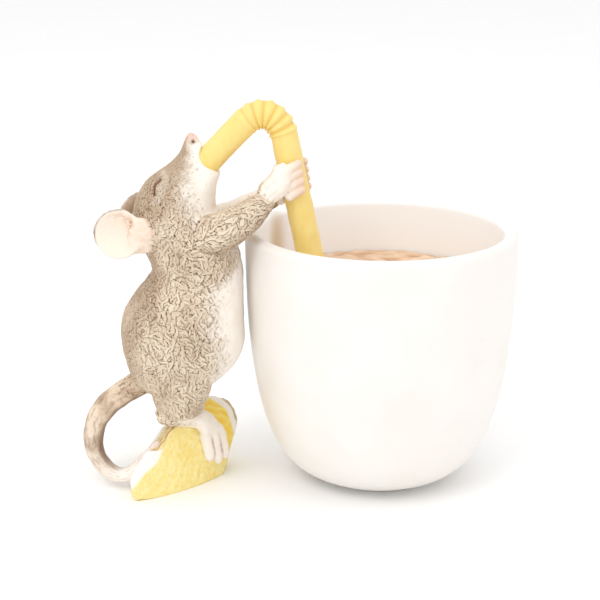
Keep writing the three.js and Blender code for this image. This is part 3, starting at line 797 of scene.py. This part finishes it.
def make_ear(name, material):
    centre, facing = EARS[name]["centre"], unit(EARS[name]["facing"])
    root = EARS[name]["root"]
    profile = [[0, -2.6]]
    profile += [[7.2 * math.sin(a), -2.6 * math.cos(a)] for a in np.linspace(0.08, 1.45, 22)]
    profile += [[7.35, 0.1], [7.35, 0.65], [7.15, 1.15], [6.8, 1.3], [6.45, 1.15]]
    profile += [[r, -1.15 + 2.1 * (r / 6.2)**2.6] for r in np.linspace(6.1, 0.4, 24)]
    profile += [[0, -1.15]]
    disc, faces = revolve(profile, 120)
    angle = np.arctan2(disc[:, 1], disc[:, 0])
    disc[:, :2] *= (1 + 0.022 * np.cos(2 * angle + 0.6) + 0.012 * np.sin(3 * angle))[:, None]
    disc = turned_to(disc, facing) + centre
    verts, faces = remesh([(disc, faces), loft(root, 40, 50)], 0.25)
    edges = edges_of(faces)
    root_way = unit(np.array(root[-1][:3]) - centre)
    seam = smoothstep(2.0, 4.5, (verts - centre) @ root_way)
    verts = relaxed(relaxed(verts, edges, 6), edges, 40, weight=seam)
    normals = normals_of(verts, faces)
    away = verts - centre
    outer = norm(away - (away @ facing)[:, None] * facing) / 7.3
    back = smoothstep(0.15, -0.45, normals @ facing)
    uneven = 0.07 * waves(verts, 5, 61, 2) + 0.04 * waves(verts, 1.6, 62, 1)
    verts = verts + normals * uneven[:, None]
    fold = smoothstep(2.2, 6.0, away @ root_way)
    hide = smoothstep(7.0, 10.0, away @ root_way + 0.8 * waves(verts, 3, 64, 2))
    top = smoothstep(1.5, 5.5, away @ np.array([-0.75, 0, 0.66]))
    low = smoothstep(5.0, -6.0, away @ np.array([-0.7, 0, -0.7]))
    # painted shadow on part of the inside of the ear's dish
    dish_shadow = low * smoothstep(1.05, 0.75, outer) * (1 - back)
    smear = line_distance(verts, centre + EAR_STAIN)
    spots = hump(smear, 1.5) * smoothstep(-0.9, 0.7, waves(verts, 2.2, 63, 2))
    add_piece(f"{name}_ear_casting", f"{name}_ear", verts, faces, material,
              {"outer": outer, "back": back, "fold": fold, "spots": spots, "hide": hide,
               "dish_shadow": dish_shadow, "top": top})


# ---- paws and feet ----
PAW_DROP = {"right": 0.0, "left": -1.3}
PAW_LINE = [[-37.2, 5.4, 90.8, 0, 0], [-35.4, 5.5, 92.0, 2.8, 2.8], [-32.6, 5.8, 94.2, 3.4, 3.0],
            [-30.8, 6.0, 96.2, 3.4, 2.7], [-30.0, 5.9, 98.6, 3.0, 2.3], [-29.7, 5.6, 100.8, 2.4, 1.9],
            [-29.6, 5.4, 102.4, 0, 0]]
FINGER_HEIGHTS = (101.4, 99.0, 96.5, 94.0)


def creases(verts, edges, faces, rounds):
    """Normals of the smoothed form, and how deep each point lies in a crease of it."""
    smooth = relaxed(verts, edges, rounds)
    normals = normals_of(smooth, faces)
    return normals, relaxed(dot(smooth - verts, normals), edges, 1)


def finger(side, height, start, end, reach, thick):
    """A finger bent round the straw, from angle start to end measured from its front."""
    across = np.array([0, 1.0, 0])
    front = np.cross(across, STRAW_LEAN)
    stations = []
    for t in np.linspace(0, 1, 7):
        angle = math.radians(start + (end - start) * t)
        out = front * math.cos(angle) + side * across * math.sin(angle)
        point = straw_centre(height - 1.9 * (1 - t)**1.5) + out * (reach - 0.3 * t)
        girth = thick * (0 if t in (0, 1) else 1.0 - 0.16 * t)
        stations.append([*point, girth, girth])
    return loft(stations, 24, 30)


def make_paw(name, material):
    side, drop = SIDES[name], PAW_DROP[name]
    forms = [loft(on_side(PAW_LINE, side, drop), 40, 50)]
    for i, height in enumerate(FINGER_HEIGHTS):
        last = (44 if name == "right" else 22) + 3 * i
        forms.append(finger(side, height + drop, 128, last, 5.5, 1.5))
    thumb_height = FINGER_HEIGHTS[3] + drop - 1.0
    forms.append(finger(side, thumb_height, 165, 196, 5.2, 1.3))
    verts, faces = remesh(forms, 0.22)
    edges = edges_of(faces)
    verts = off_straw(relaxed(verts, edges, 3))
    middle = FIGURE_Y + side * 0.1  # the paws meet here
    verts[:, 1] = np.where(side * (verts[:, 1] - middle) < 0, middle, verts[:, 1])
    normals, crease = creases(verts, edges, faces, 8)
    across = (verts @ unit([0.62, 0, -0.78])) * 2 * np.pi / 2.3
    back = smoothstep(-29.5, -32.0, verts[:, 0]) * smoothstep(-36.5, -34.0, verts[:, 0])
    groove = smoothstep(0.55, 1.0, np.sin(across + 0.8 * waves(verts, 5, 72, 1))) * back
    verts = verts + normals * (0.05 * waves(verts, 2.4, 71, 2) - 0.16 * groove)[:, None]
    tip = smoothstep(-29.5, -24, verts[:, 0])
    cuff = smoothstep(-34.4, -36.8, verts[:, 0] + 0.8 * waves(verts, 3, 73, 2))
    crease = smoothstep(0.015, 0.16, crease + 0.065 * groove)
    add_piece(f"{name}_paw_casting", f"{name}_paw", verts, faces, material,
              {"crease": crease, "tip": tip, "cuff": cuff})


FOOT_LINES = {
    "right": [[-69.0, -15.2, 24.9, 0, 0, 0], [-67.1, -15.0, 24.6, 3.2, 3.2, 0],
              [-62.4, -13.6, 23.0, 3.3, 3.6, 0], [-58.0, -11.8, 21.9, 3.0, 3.6, 0],
              [-54.8, -9.8, 19.9, 2.7, 4.2, 12], [-52.8, -8.2, 16.2, 2.0, 4.3, 36],
              [-51.9, -7.8, 11.6, 1.4, 4.1, 48], [-51.5, -7.6, 8.4, 0, 0, 51]],
    "left": [[-67.2, -6.4, 25.0, 0, 0, 0], [-65.4, -5.6, 25.0, 2.3, 3.0, 0],
             [-62.4, -3.0, 26.0, 2.7, 3.4, 0], [-60.2, 0.8, 26.0, 2.7, 3.4, 0],
             [-59.0, 5.0, 23.8, 2.5, 3.3, 0], [-58.6, 8.2, 19.6, 2.1, 3.0, 0],
             [-58.6, 9.6, 17.2, 0, 0, 0]],
}
TOE_GIRTH = [0, 1.7, 1.75, 1.6, 0]
TOE_LINES = {
    "right": [
        [[-54.4, -9.4, 19.2], [-54.4, -10.2, 16.6], [-53.6, -10.6, 12.4], [-52.9, -10.4, 8.2],
         [-52.7, -10.3, 6.2]],
        [[-52.9, -7.8, 18.6], [-52.0, -7.8, 15.4], [-51.2, -8.1, 10.4], [-50.5, -8.0, 6.4],
         [-50.2, -7.9, 4.4]],
        [[-51.6, -5.8, 18.6], [-50.2, -5.3, 15.4], [-49.1, -5.2, 10.6], [-48.6, -5.4, 6.8],
         [-48.4, -5.4, 5.0]],
    ],
    "left": [[[-59.0 + shift, 5.8, 22.6], [-58.6 + shift, 7.6, 20.0],
              [-58.6 + shift * 1.3, 9.2, 16.8], [-58.6 + shift * 1.4, 10.2, 14.2],
              [-58.6 + shift * 1.4, 10.6, 12.8]] for shift in (-2.0, 0.0, 2.0)],
}


def make_foot(name, material):
    forms = [loft(FOOT_LINES[name], 40, 60)]
    for line in TOE_LINES[name]:
        toe = [[*point, girth, girth] for point, girth in zip(line, TOE_GIRTH)]
        forms.append(loft(toe, 28, 40))
    verts, faces = remesh(forms, 0.24)
    edges = edges_of(faces)
    verts = off_wedge(relaxed(verts, edges, 4))
    normals, crease = creases(verts, edges, faces, 10)
    verts = verts + normals * (0.05 * waves(verts, 2.6, 81, 2))[:, None]
    ankle = {"right": smoothstep(-59.5, -63.5, verts[:, 0]),
             "left": smoothstep(0.0, -6.0, verts[:, 1])}[name]
    under = smoothstep(0.1, -0.7, normals[:, 2]) * smoothstep(19.5, 21.5, verts[:, 2])
    add_piece(f"{name}_foot_casting", f"{name}_foot", verts, faces, material,
              {"crease": 0.8 * smoothstep(0.005, 0.09, crease), "tip": np.zeros(len(verts)),
               "cuff": np.maximum(ankle, under)})


# ---- tail ----
TAIL_LINE = [
    [-64.0, -10.0, 39.8, 0], [-67.0, -10.0, 37.8, 4.6], [-71.5, -10.0, 34.4, 4.1],
    [-75.5, -10.0, 31.6, 3.9], [-79.8, -10.0, 28.8, 3.7], [-84.0, -10.0, 25.4, 3.6],
    [-87.2, -10.0, 20.8, 3.4], [-88.6, -10.2, 16.2, 3.1], [-88.6, -11.0, 12.0, 2.9],
    [-87.2, -12.2, 8.4, 2.7], [-84.4, -13.6, 5.4, 2.6], [-80.8, -15.4, 4.2, 2.4],
    [-77.2, -17.4, 5.6, 2.2], [-73.8, -18.6, 8.8, 2.0], [-70.6, -18.2, 12.2, 1.8],
    [-68.0, -17.0, 15.0, 1.5], [-67.2, -16.6, 15.8, 0],
]


TAIL_AROUND, TAIL_ALONG = 64, 460
CURL_CENTRE = np.array([-74.0, -12.0, 21.0])


def make_tail(material):
    stations = [[x, y, z, r, r] for x, y, z, r in TAIL_LINE]
    verts, faces = loft(stations, TAIL_AROUND, TAIL_ALONG)
    along = np.linspace(0, 1, TAIL_ALONG + 1)[1:-1]
    round_it = np.linspace(0, 2 * np.pi, TAIL_AROUND, endpoint=False)
    run = np.append(np.repeat(along, TAIL_AROUND), [0, 1])
    turn = np.append(np.tile(round_it, len(along)), [0, 0])
    normals = normals_of(verts, faces)
    grain = np.sin(11 * turn + 30 * run + 2.0 * waves(verts, 9, 91, 2))
    lines = smoothstep(0.35, 0.95, grain) * smoothstep(-0.9, 0.5, waves(verts, 5, 93, 2))
    # curl marks the side of the tail that faces into its coil, where painted shade goes
    curl = smoothstep(0.0, 0.9, dot(normals, unit(CURL_CENTRE - verts)))
    verts = verts + normals * (0.10 * waves(verts, 6, 92, 2) - 0.09 * lines)[:, None]
    verts[:, 2] = np.maximum(verts[:, 2], 0.3)
    add_piece("tail_casting", "tail", verts, faces, material,
              {"run": run, "lines": lines, "curl": curl})


# ---- lemon wedge ----
WEDGE_CORNER = np.array([-71.8, -24.7, 0.0])
WEDGE_TURN, WEDGE_TILT = math.radians(46), math.radians(36.5)
WEDGE_ALONG = np.array([math.cos(WEDGE_TURN), math.sin(WEDGE_TURN), 0])
WEDGE_DEEP = np.array([-math.sin(WEDGE_TURN), math.cos(WEDGE_TURN), 0])
WEDGE_HALF = np.array([30.0, 12.6, 17.0])
WEDGE_CENTRE = WEDGE_CORNER + WEDGE_ALONG * 15 + WEDGE_DEEP * 2 + [0, 0, 3.0]
WEDGE_AXES = np.array([
    WEDGE_ALONG * math.cos(WEDGE_TILT) + np.array([0, 0, math.sin(WEDGE_TILT)]),
    WEDGE_DEEP,
    -WEDGE_ALONG * math.sin(WEDGE_TILT) + np.array([0, 0, math.cos(WEDGE_TILT)]),
])
PEEL_CENTRE, PEEL_RADIUS = np.array([-98.4, 28.9, 0.0]), 60.2
# A point on each flat face, and the way that it faces.
PULP_FACE = (np.array([-58.6, -11.5, 19.3]), unit([0.585, -0.44, 0.682]))
RIND_FACE = (np.array([-76.3, -28.3, 6.3]), unit([-0.845, 0.132, 0.518]))
TIP_FACE = (np.array([-75.2, -24.7, 0.0]), unit([-0.968, -0.194, -0.158]))
HEEL_FACE = (np.array([-48.4, 1.1, 0.0]), unit([0.966, -0.056, -0.252]))
BASE_FACE = (np.array([0, 0, 0.0]), np.array([0, 0, -1.0]))
# Where the rind's edge runs, round the right-hand end.
RIM_LINE = np.array([[-56.0, 3.6, 27.2], [-54.0, 4.0, 26.0], [-51.8, 4.2, 24.4],
                     [-48.9, 4.8, 22.1], [-45.8, 4.6, 18.7], [-44.2, 4.8, 14.8],
                     [-43.9, 4.8, 11.5]])
WEDGE_FACES = [PULP_FACE, RIND_FACE, TIP_FACE, HEEL_FACE, BASE_FACE]


def fruit_ratio(points):
    """1 on the whole fruit's skin, less inside it."""
    return norm((points - WEDGE_CENTRE) @ WEDGE_AXES.T / WEDGE_HALF)


def beyond_face(points, face):
    return (points - face[0]) @ face[1]


def beyond_peel(points):
    return norm(points - PEEL_CENTRE) - PEEL_RADIUS


def off_wedge(verts, gap=0.05):
    """Moves points that would be in the wedge out through its peel or its pulp face."""
    peel, pulp = beyond_peel(verts), beyond_face(verts, PULP_FACE)
    others = np.stack([beyond_face(verts, f) for f in WEDGE_FACES[1:]], axis=1).max(axis=1)
    inside = (np.maximum(peel, pulp) < gap) & (others < 0) & (fruit_ratio(verts) < 1)
    by_peel = unit(verts - PEEL_CENTRE) * (gap - peel)[:, None]
    by_pulp = PULP_FACE[1] * (gap - pulp)[:, None]
    move = np.where((peel > pulp)[:, None], by_peel, by_pulp)
    return np.where(inside[:, None], verts + move, verts)


def clipped(verts, faces, cuts):
    """A closed form with everything beyond each face cut away and closed flat."""
    mesh = bpy.data.meshes.new("clip")
    mesh.from_pydata(verts.tolist(), [], faces)
    work = bmesh.new()
    work.from_mesh(mesh)
    for point, way in cuts:
        cut = bmesh.ops.bisect_plane(work, geom=work.verts[:] + work.edges[:] + work.faces[:],
                                     plane_co=point, plane_no=way, clear_outer=True)
        rim = [e for e in cut["geom_cut"] if isinstance(e, bmesh.types.BMEdge)]
        bmesh.ops.edgenet_fill(work, edges=rim)
    bmesh.ops.triangulate(work, faces=work.faces[:])
    out = np.array([v.co[:] for v in work.verts])
    tris = [[v.index for v in f.verts] for f in work.faces]
    work.free()
    bpy.data.meshes.remove(mesh)
    return out, tris


def wedge_form():
    """The slice: a fruit pulled in to the peel's sphere, cut flat, with two corners rounded."""
    polar = np.linspace(0, np.pi, 70)
    ball, faces = revolve(np.stack([np.sin(polar), np.cos(polar)], axis=1), 120)
    fruit = (ball * WEDGE_HALF) @ WEDGE_AXES + WEDGE_CENTRE
    inward = unit(PEEL_CENTRE - fruit) * np.maximum(beyond_peel(fruit), 0)[:, None]
    verts, faces = remesh([clipped(fruit + inward, faces, WEDGE_FACES)], 0.33)
    edges = edges_of(faces)
    off_floor = smoothstep(0.0, 1.6, verts[:, 2])
    at_tip = hump(norm(verts[:, :2] - [-75.4, -24.9]), 3.6)
    verts = relaxed(verts, edges, 18, weight=off_floor)
    at_heel = hump(norm(verts[:, :2] - [-48.4, 0.6]), 3.6)
    verts = relaxed(verts, edges, 70, weight=np.maximum(at_tip, at_heel))
    verts[:, 2] = np.maximum(verts[:, 2], 0.0)
    return verts, faces, edges


def make_wedge(material):
    verts, faces, edges = wedge_form()
    normals = normals_of(verts, faces)

    # zones: bands of skin, pith and pulp in from the rim, and the white left end with the
    # tan strip above it
    wander = 0.25 * waves(verts, 9, 104, 1)
    inland = line_distance(verts, RIM_LINE) + wander
    near_side = smoothstep(0.99, 0.97, fruit_ratio(verts))
    pulp = smoothstep(3.0, 3.6, inland) * smoothstep(11.5, 8.5, inland) * near_side
    pulp = pulp * smoothstep(-6.5, -3.5, verts[:, 1])
    pith = smoothstep(0.7, 1.2, inland) * smoothstep(3.6, 3.0, inland) * near_side
    skin = np.maximum(smoothstep(1.2, 0.7, inland), (1 - near_side) * smoothstep(6.0, 3.0, inland))
    from_rind = beyond_face(verts, RIND_FACE) + wander
    height = verts[:, 2] + wander
    band = 0.5 + 0.25 * np.minimum(verts[:, 2], 11.0)
    white_end = smoothstep(-0.4, 0.4, from_rind + band) * smoothstep(15.2, 14.4, height)
    strip = smoothstep(14.4, 15.2, height) * smoothstep(-2.6, -2.0, from_rind)
    pulp, pith, skin = (zone * (1 - white_end) * (1 - strip) for zone in (pulp, pith, skin))

    # relief: lumps and pits on the peel, streaks in the pulp, a line along the strip
    lumps = waves(verts, 3.2, 101, 2)
    pits = np.clip(waves(verts, 1.5, 102, 2) - 0.5, 0, 1)
    spoke = verts - (PULP_FACE[0] + [-6.0, 5.0, -3.0])
    swirl = np.arctan2(spoke @ WEDGE_AXES[1], spoke @ WEDGE_AXES[0])
    streak = np.sin(swirl * 46 + 1.5 * waves(verts, 5, 103, 1)) * 0.5 + 0.5
    on_pulp = smoothstep(-1.3, -0.55, beyond_face(verts, PULP_FACE))
    streak = streak * on_pulp + (1 - on_pulp) * (0.5 + 0.3 * waves(verts, 2.4, 105, 2))
    lined = hump(from_rind + 0.4 + 0.2 * waves(verts, 4, 106, 1), 0.35)
    rough = (1 - white_end) * (1 - pulp) * (1 - pith)
    shift = rough * (0.10 * lumps - 0.12 * pits) + pulp * (0.22 * streak - 0.30)
    shift += pith * 0.05 * lumps - 0.22 * strip * lined
    shift *= smoothstep(0.1, 1.2, verts[:, 2])

    # the left end swells out, and steps back at the strip
    swell = white_end * smoothstep(3, 9, verts[:, 2]) * smoothstep(-3.2, -0.4, from_rind)
    step = smoothstep(14.2, 15.6, height) * smoothstep(-3.6, -0.6, from_rind)
    lift = relaxed(swell * (1 - step) - 1.3 * step, edges, 8)
    verts = verts + normals * shift[:, None] + RIND_FACE[1] * lift[:, None]
    verts[:, 2] = np.maximum(verts[:, 2], 0.0)
    add_piece("lemon_wedge_casting", "lemon_wedge", verts, faces, material,
              {"pulp": pulp, "pith": pith, "white": white_end, "strip": strip, "skin": skin,
               "streak": np.where(strip > 0.5, lined, streak), "pits": pits})


# ---- materials ----
def paint(red, green, blue):
    """A colour given as display values 0 to 255, as the shader wants it."""
    def linear(c):
        c /= 255
        return c / 12.92 if c <= 0.04045 else ((c + 0.055) / 1.055)**2.4
    return (linear(red), linear(green), linear(blue), 1.0)


class Finish:
    """A Principled material and short ways to add nodes to it. A colour is a socket, or
    three display values."""

    def __init__(self, name, roughness, specular=0.5):
        self.material = bpy.data.materials.new(name)
        self.material.use_nodes = True
        self.tree = self.material.node_tree
        self.shader = self.tree.nodes["Principled BSDF"]
        self.shader.inputs["Roughness"].default_value = roughness
        self.shader.inputs["Specular IOR Level"].default_value = specular
        self.place = self.add("ShaderNodeTexCoord").outputs["Object"]
        self.colour = (255, 255, 255)

    def add(self, kind, **settings):
        node = self.tree.nodes.new(kind)
        for key, value in settings.items():
            setattr(node, key, value)
        return node

    def put(self, socket, value):
        if hasattr(value, "is_output"):
            self.tree.links.new(value, socket)
        else:
            socket.default_value = paint(*value) if isinstance(value, tuple) else value

    def attribute(self, name):
        return self.add("ShaderNodeAttribute", attribute_name=name).outputs["Fac"]

    def noise(self, size_mm, detail=3.0, stretch=None):
        node = self.add("ShaderNodeTexNoise")
        place = self.place
        if stretch is not None:
            scaled = self.add("ShaderNodeVectorMath", operation="MULTIPLY")
            self.put(scaled.inputs[0], place)
            scaled.inputs[1].default_value = stretch
            place = scaled.outputs[0]
        self.put(node.inputs["Vector"], place)
        node.inputs["Scale"].default_value = 1000 / size_mm
        node.inputs["Detail"].default_value = detail
        node.inputs["Roughness"].default_value = 0.55
        return node.outputs["Fac"]

    def calc(self, operation, a, b):
        node = self.add("ShaderNodeMath", operation=operation, use_clamp=True)
        self.put(node.inputs[0], a)
        self.put(node.inputs[1], b)
        return node.outputs[0]

    def spread(self, value, low, high):
        """A 0 to 1 value stretched to run from low to high, for roughness."""
        node = self.add("ShaderNodeMapRange")
        self.put(node.inputs["Value"], value)
        node.inputs["To Min"].default_value = low
        node.inputs["To Max"].default_value = high
        return node.outputs["Result"]

    def ramp(self, value, *stops):
        """A value looked up on stops of (place, colour) or (place, grey level 0 to 1)."""
        node = self.add("ShaderNodeValToRGB")
        self.put(node.inputs["Fac"], value)
        marks = node.color_ramp.elements
        while len(marks) < len(stops):
            marks.new(0.5)
        for mark, (place, level) in zip(marks, stops):
            mark.position = place
            mark.color = paint(*level) if isinstance(level, tuple) else (level, level, level, 1)
        return node.outputs["Color"]

    def mix(self, share, a, b):
        node = self.add("ShaderNodeMix", data_type="RGBA")
        self.put(node.inputs[0], share)
        self.put(node.inputs[6], a)
        self.put(node.inputs[7], b)
        return node.outputs[2]

    def lay(self, share, over, strength=None):
        """Lays a colour over the material's, as far as a socket or a mesh attribute says."""
        if isinstance(share, str):
            share = self.attribute(share)
        if strength is not None:
            share = self.calc("MULTIPLY", share, strength)
        self.colour = self.mix(share, self.colour, over)

    def fleece(self, light, line):
        """Fine wandering lines, as of carved wool."""
        return self.ramp(self.noise(1.3, 1), (0.42, light), (0.47, line), (0.50, line),
                         (0.55, light))

    def finish(self, bump=None, depth_mm=0.05, roughness=None):
        self.put(self.shader.inputs["Base Color"], self.colour)
        if bump is not None:
            node = self.add("ShaderNodeBump")
            node.inputs["Strength"].default_value = 1.0
            node.inputs["Distance"].default_value = depth_mm * MM
            self.put(node.inputs["Height"], bump)
            self.put(self.shader.inputs["Normal"], node.outputs["Normal"])
        if roughness is not None:
            self.put(self.shader.inputs["Roughness"], roughness)
        return self.material


def fur_material():
    f = Finish("carved_fur", 0.7, 0.3)
    fine, coat = f.noise(0.55, 2), f.attribute("coat")
    cream = f.ramp(coat, (0.0, (72, 50, 35)), (0.16, (116, 91, 69)), (0.30, (188, 164, 137)),
                   (0.5, (214, 193, 169)), (0.95, (238, 223, 202)))
    grey = f.ramp(coat, (0.0, (62, 43, 30)), (0.16, (100, 78, 60)), (0.32, (160, 136, 112)),
                  (0.55, (182, 158, 133)), (1.0, (208, 187, 163)))
    # grey is a darker copy of the cream coat, laid by the attribute made in make_mouse: painted shade
    # down the back and under the arms, darker over the brow, a darker wash round the eyes, and random
    # patches
    patch = f.calc("ADD", f.ramp(f.noise(11), (0.46, 0.0), (0.66, 0.55)), f.attribute("shade_and_wash"))
    f.colour = f.mix(patch, cream, grey)
    f.lay(f.ramp(fine, (0.55, 0.0), (0.9, 0.2)), (160, 132, 106))
    soft = f.mix(f.noise(3.0), (253, 250, 245), (246, 234, 220))
    pale = f.mix(f.ramp(coat, (0.0, 0.8), (0.5, 0.0)), soft, (190, 160, 130))
    f.lay("pale", pale)
    f.lay("fleck", (150, 118, 92), 0.45)
    f.lay("pink", (226, 192, 176), 0.8)
    rust = f.ramp(f.noise(0.9, 2), (0.58, 0.0), (0.66, 0.75))
    f.lay("pink", (158, 94, 66), rust)
    f.lay("dark", (104, 58, 34))
    return f.finish(fine, 0.05, f.spread(fine, 0.55, 0.85))


def ear_material():
    f = Finish("ear_paint", 0.6, 0.35)
    f.colour = f.mix(f.noise(5.0), (247, 238, 227), (242, 226, 209))
    stain = f.ramp(f.noise(2.0, 4), (0.45, 0.25), (0.7, 0.9))
    f.lay("fold", (232, 196, 168), stain)
    # painted shadow inside the ear's dish
    f.lay("dish_shadow", (238, 212, 188), 0.3)
    rim = f.ramp(f.attribute("outer"), (0.90, 0.0), (0.96, 1.0), (1.0, 1.0))
    broken = f.ramp(f.noise(5.0), (0.35, 0.2), (0.6, 0.9))
    dark_rim = f.calc("MULTIPLY", rim, f.calc("MULTIPLY", f.attribute("top"), broken))
    f.lay(dark_rim, (128, 96, 74))
    blot = f.mix(f.attribute("spots"), (226, 178, 134), (160, 94, 56))
    f.lay("spots", blot, 0.95)
    brown = f.mix(f.noise(2.2, 4), (150, 124, 102), (206, 182, 156))
    f.lay("back", brown)
    f.lay("hide", f.fleece((220, 200, 175), (112, 86, 64)))
    return f.finish(f.noise(0.8), 0.06)


def paw_material():
    f = Finish("paw_paint", 0.6, 0.35)
    f.colour = f.mix(f.noise(2.6), (252, 246, 238), (247, 235, 221))
    f.lay("tip", (236, 204, 180), 0.85)
    f.lay("crease", (190, 134, 102))
    f.lay("cuff", f.fleece((230, 213, 191), (156, 128, 102)))
    return f.finish(f.noise(0.7), 0.05)


def tail_material():
    f = Finish("tail_paint", 0.55, 0.4)
    run = f.attribute("run")
    f.colour = f.ramp(run, (0.0, (212, 186, 156)), (0.30, (234, 213, 188)),
                    (0.62, (240, 226, 210)), (0.72, (252, 244, 235)), (1.0, (250, 232, 218)))
    stain = f.ramp(f.noise(6.0, 4), (0.42, 0.0), (0.66, 0.85))
    upper = f.ramp(run, (0.0, 1.0), (0.55, 0.9), (0.68, 0.25), (1.0, 0.12))
    f.lay(f.calc("MULTIPLY", stain, upper), (164, 134, 108))
    # painted shade on the side of the tail that faces into its coil
    edge = f.ramp(f.attribute("curl"), (0.0, 0.0), (0.55, 0.12), (0.95, 0.75))
    shade = f.calc("MULTIPLY", edge, f.calc("ADD", upper, 0.15))
    f.lay(shade, (112, 82, 60))
    ink = f.ramp(run, (0.5, 0.42), (0.75, 0.22))
    f.lay("lines", (140, 108, 82), ink)
    rump = f.ramp(run, (0.0, 1.0), (0.16, 1.0), (0.26, 0.2), (0.6, 0.1))
    speck = f.ramp(f.noise(1.0, 2), (0.57, 0.0), (0.62, 0.95))
    f.lay(f.calc("MULTIPLY", speck, rump), (88, 64, 48))
    return f.finish(f.noise(0.9), 0.06)


def straw_material():
    f = Finish("straw_paint", 0.42, 0.4)
    soft = f.noise(7.0)
    f.colour = f.mix(soft, (247, 225, 150), (244, 213, 118))
    # painted shade in the valleys between the ribs
    f.lay("groove", (226, 174, 66), 0.6)
    # painted shade on the inside of the bend
    f.lay("under", (236, 182, 56), 0.7)
    streak = f.ramp(f.noise(1.6, stretch=(1, 1, 0.25)), (0.5, 0.0), (0.8, 0.35))
    f.lay(streak, (238, 198, 88))
    return f.finish(f.noise(1.2), 0.03, f.spread(soft, 0.34, 0.5))


def lemon_material():
    f = Finish("lemon_paint", 0.5, 0.4)
    mottle = f.noise(1.6)
    f.colour = f.mix(f.ramp(mottle, (0.35, 0.0), (0.7, 1.0)), (251, 236, 170), (247, 224, 136))
    f.lay(f.ramp(f.noise(9.0, 2), (0.5, 0.0), (0.75, 0.6)), (243, 212, 108))
    f.lay("pits", (240, 206, 104), 0.4)
    f.lay("skin", f.mix(f.noise(1.4, 4), (172, 142, 110), (224, 202, 168)))
    flesh = f.mix(f.attribute("streak"), (255, 210, 72), (255, 232, 118))
    flesh = f.mix(f.ramp(f.noise(2.0, 4), (0.45, 0.0), (0.75, 0.5)), flesh, (255, 236, 148))
    f.lay("pulp", flesh)
    white = f.mix(f.noise(1.8), (254, 252, 248), (250, 244, 234))
    f.lay("pith", white)
    f.lay("white", white)
    gold = f.mix(f.attribute("streak"), (248, 226, 158), (178, 138, 90))
    f.lay("strip", gold, 0.9)
    return f.finish(f.noise(0.7), 0.05, f.spread(mottle, 0.42, 0.62))


def drink_material():
    f = Finish("drink_paint", 0.45, 0.45)
    f.colour = f.ramp(f.attribute("height"), (0.0, (192, 146, 110)), (0.5, (230, 194, 160)),
                    (1.0, (246, 220, 194)))
    f.lay(f.ramp(f.noise(3.0, 4), (0.4, 0.0), (0.8, 0.4)), (214, 168, 130))
    return f.finish(f.noise(1.0), 0.12, f.spread(f.noise(4.0), 0.3, 0.55))


def cup_material():
    f = Finish("cup_glaze", 0.4, 0.5)
    cloud = f.noise(22)
    f.colour = f.mix(f.ramp(cloud, (0.35, 0.0), (0.75, 1.0)), (245, 241, 237), (241, 235, 228))
    # painted light: the inside of the cup is painted lighter and bluer than the outside
    f.lay("inner", f.mix(cloud, (252, 254, 255), (248, 250, 252)))
    # painted shadow: the brown patch on the inside of the wall beside the straw
    f.lay("tan", (207, 181, 140), 0.8)
    speck = f.ramp(f.noise(1.0, 1), (0.80, 0.0), (0.84, 0.35))
    f.lay(speck, (222, 208, 188))
    return f.finish(f.noise(1.2, 4), 0.018, f.spread(cloud, 0.32, 0.48))


def pin_material():
    f = Finish("wire_steel", 0.35, 0.5)
    f.shader.inputs["Metallic"].default_value = 1.0
    f.colour = f.mix(f.noise(0.6, stretch=(1, 1, 0.15)), (150, 152, 158), (196, 198, 202))
    return f.finish(f.noise(0.4, 2), 0.01)


# ---- the object ----
make_cup(cup_material())
make_drink(drink_material())
make_straw(straw_material())
make_mouse(fur_material())
ears, paws = ear_material(), paw_material()
for side_name in SIDES:
    make_ear(side_name, ears)
    make_paw(side_name, paws)
    make_foot(side_name, paws)
make_tail(tail_material())
make_wedge(lemon_material())
steel = pin_material()
for node_name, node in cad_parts.items():
    if node_name.endswith("_pin"):
        node.data.materials.clear()
        node.data.materials.append(steel)


# ---- floor, light and camera, in metres ----
LIGHTS = [
    # name, place, aim, size, power, colour
    ("key_light", (-0.5, -0.7, 1.05), (-0.03, -0.01, 0.06), 0.6, 2.9, (1, 0.985, 0.96)),
    ("top_light", (0.05, -0.12, 0.62), (0, 0, 0.06), 0.3, 0.3, (1, 0.995, 0.985)),
]
CAMERA_TARGET, CAMERA_DISTANCE, CAMERA_LIFT = (-0.0247, 0.0, 0.056), 0.45, math.radians(17)
LENS, SENSOR = 87.44, 36


def floor():
    f = Finish("studio_floor", 0.9, 0.1)
    f.colour = f.mix(f.noise(60, 2), (254, 254, 254), (251, 251, 251))
    top = -0.02
    verts, faces = revolve([[0, -20], [4000, -20], [4000, top], [300, top], [0, top]], 96)
    new_mesh("studio_floor", verts, faces, f.finish())


def aim_at(obj, aim):
    way = Vector(aim) - obj.location
    obj.rotation_euler = way.to_track_quat("-Z", "Y").to_euler()


def area_light(name, place, aim, size, power, colour):
    data = bpy.data.lights.new(name, "AREA")
    data.shape, data.size, data.energy, data.color = "DISK", size, power, colour
    lamp = bpy.data.objects.new(name, data)
    bpy.context.scene.collection.objects.link(lamp)
    lamp.location = place
    aim_at(lamp, aim)


def studio():
    world = bpy.data.worlds.new("studio")
    bpy.context.scene.world = world
    world.use_nodes = True
    sky = world.node_tree.nodes["Background"]
    sky.inputs["Color"].default_value = (1.0, 1.0, 1.0, 1)
    sky.inputs["Strength"].default_value = 1.0
    for light in LIGHTS:
        area_light(*light)


def camera():
    data = bpy.data.cameras.new("photo_camera")
    data.lens, data.sensor_width, data.clip_start = LENS, SENSOR, 0.01
    view = bpy.data.objects.new("photo_camera", data)
    bpy.context.scene.collection.objects.link(view)
    x, _, z = CAMERA_TARGET
    view.location = (x, -CAMERA_DISTANCE * math.cos(CAMERA_LIFT),
                     z + CAMERA_DISTANCE * math.sin(CAMERA_LIFT))
    aim_at(view, CAMERA_TARGET)
    bpy.context.scene.camera = view


floor()
studio()
camera()
bpy.context.scene.view_settings.view_transform = "Standard"
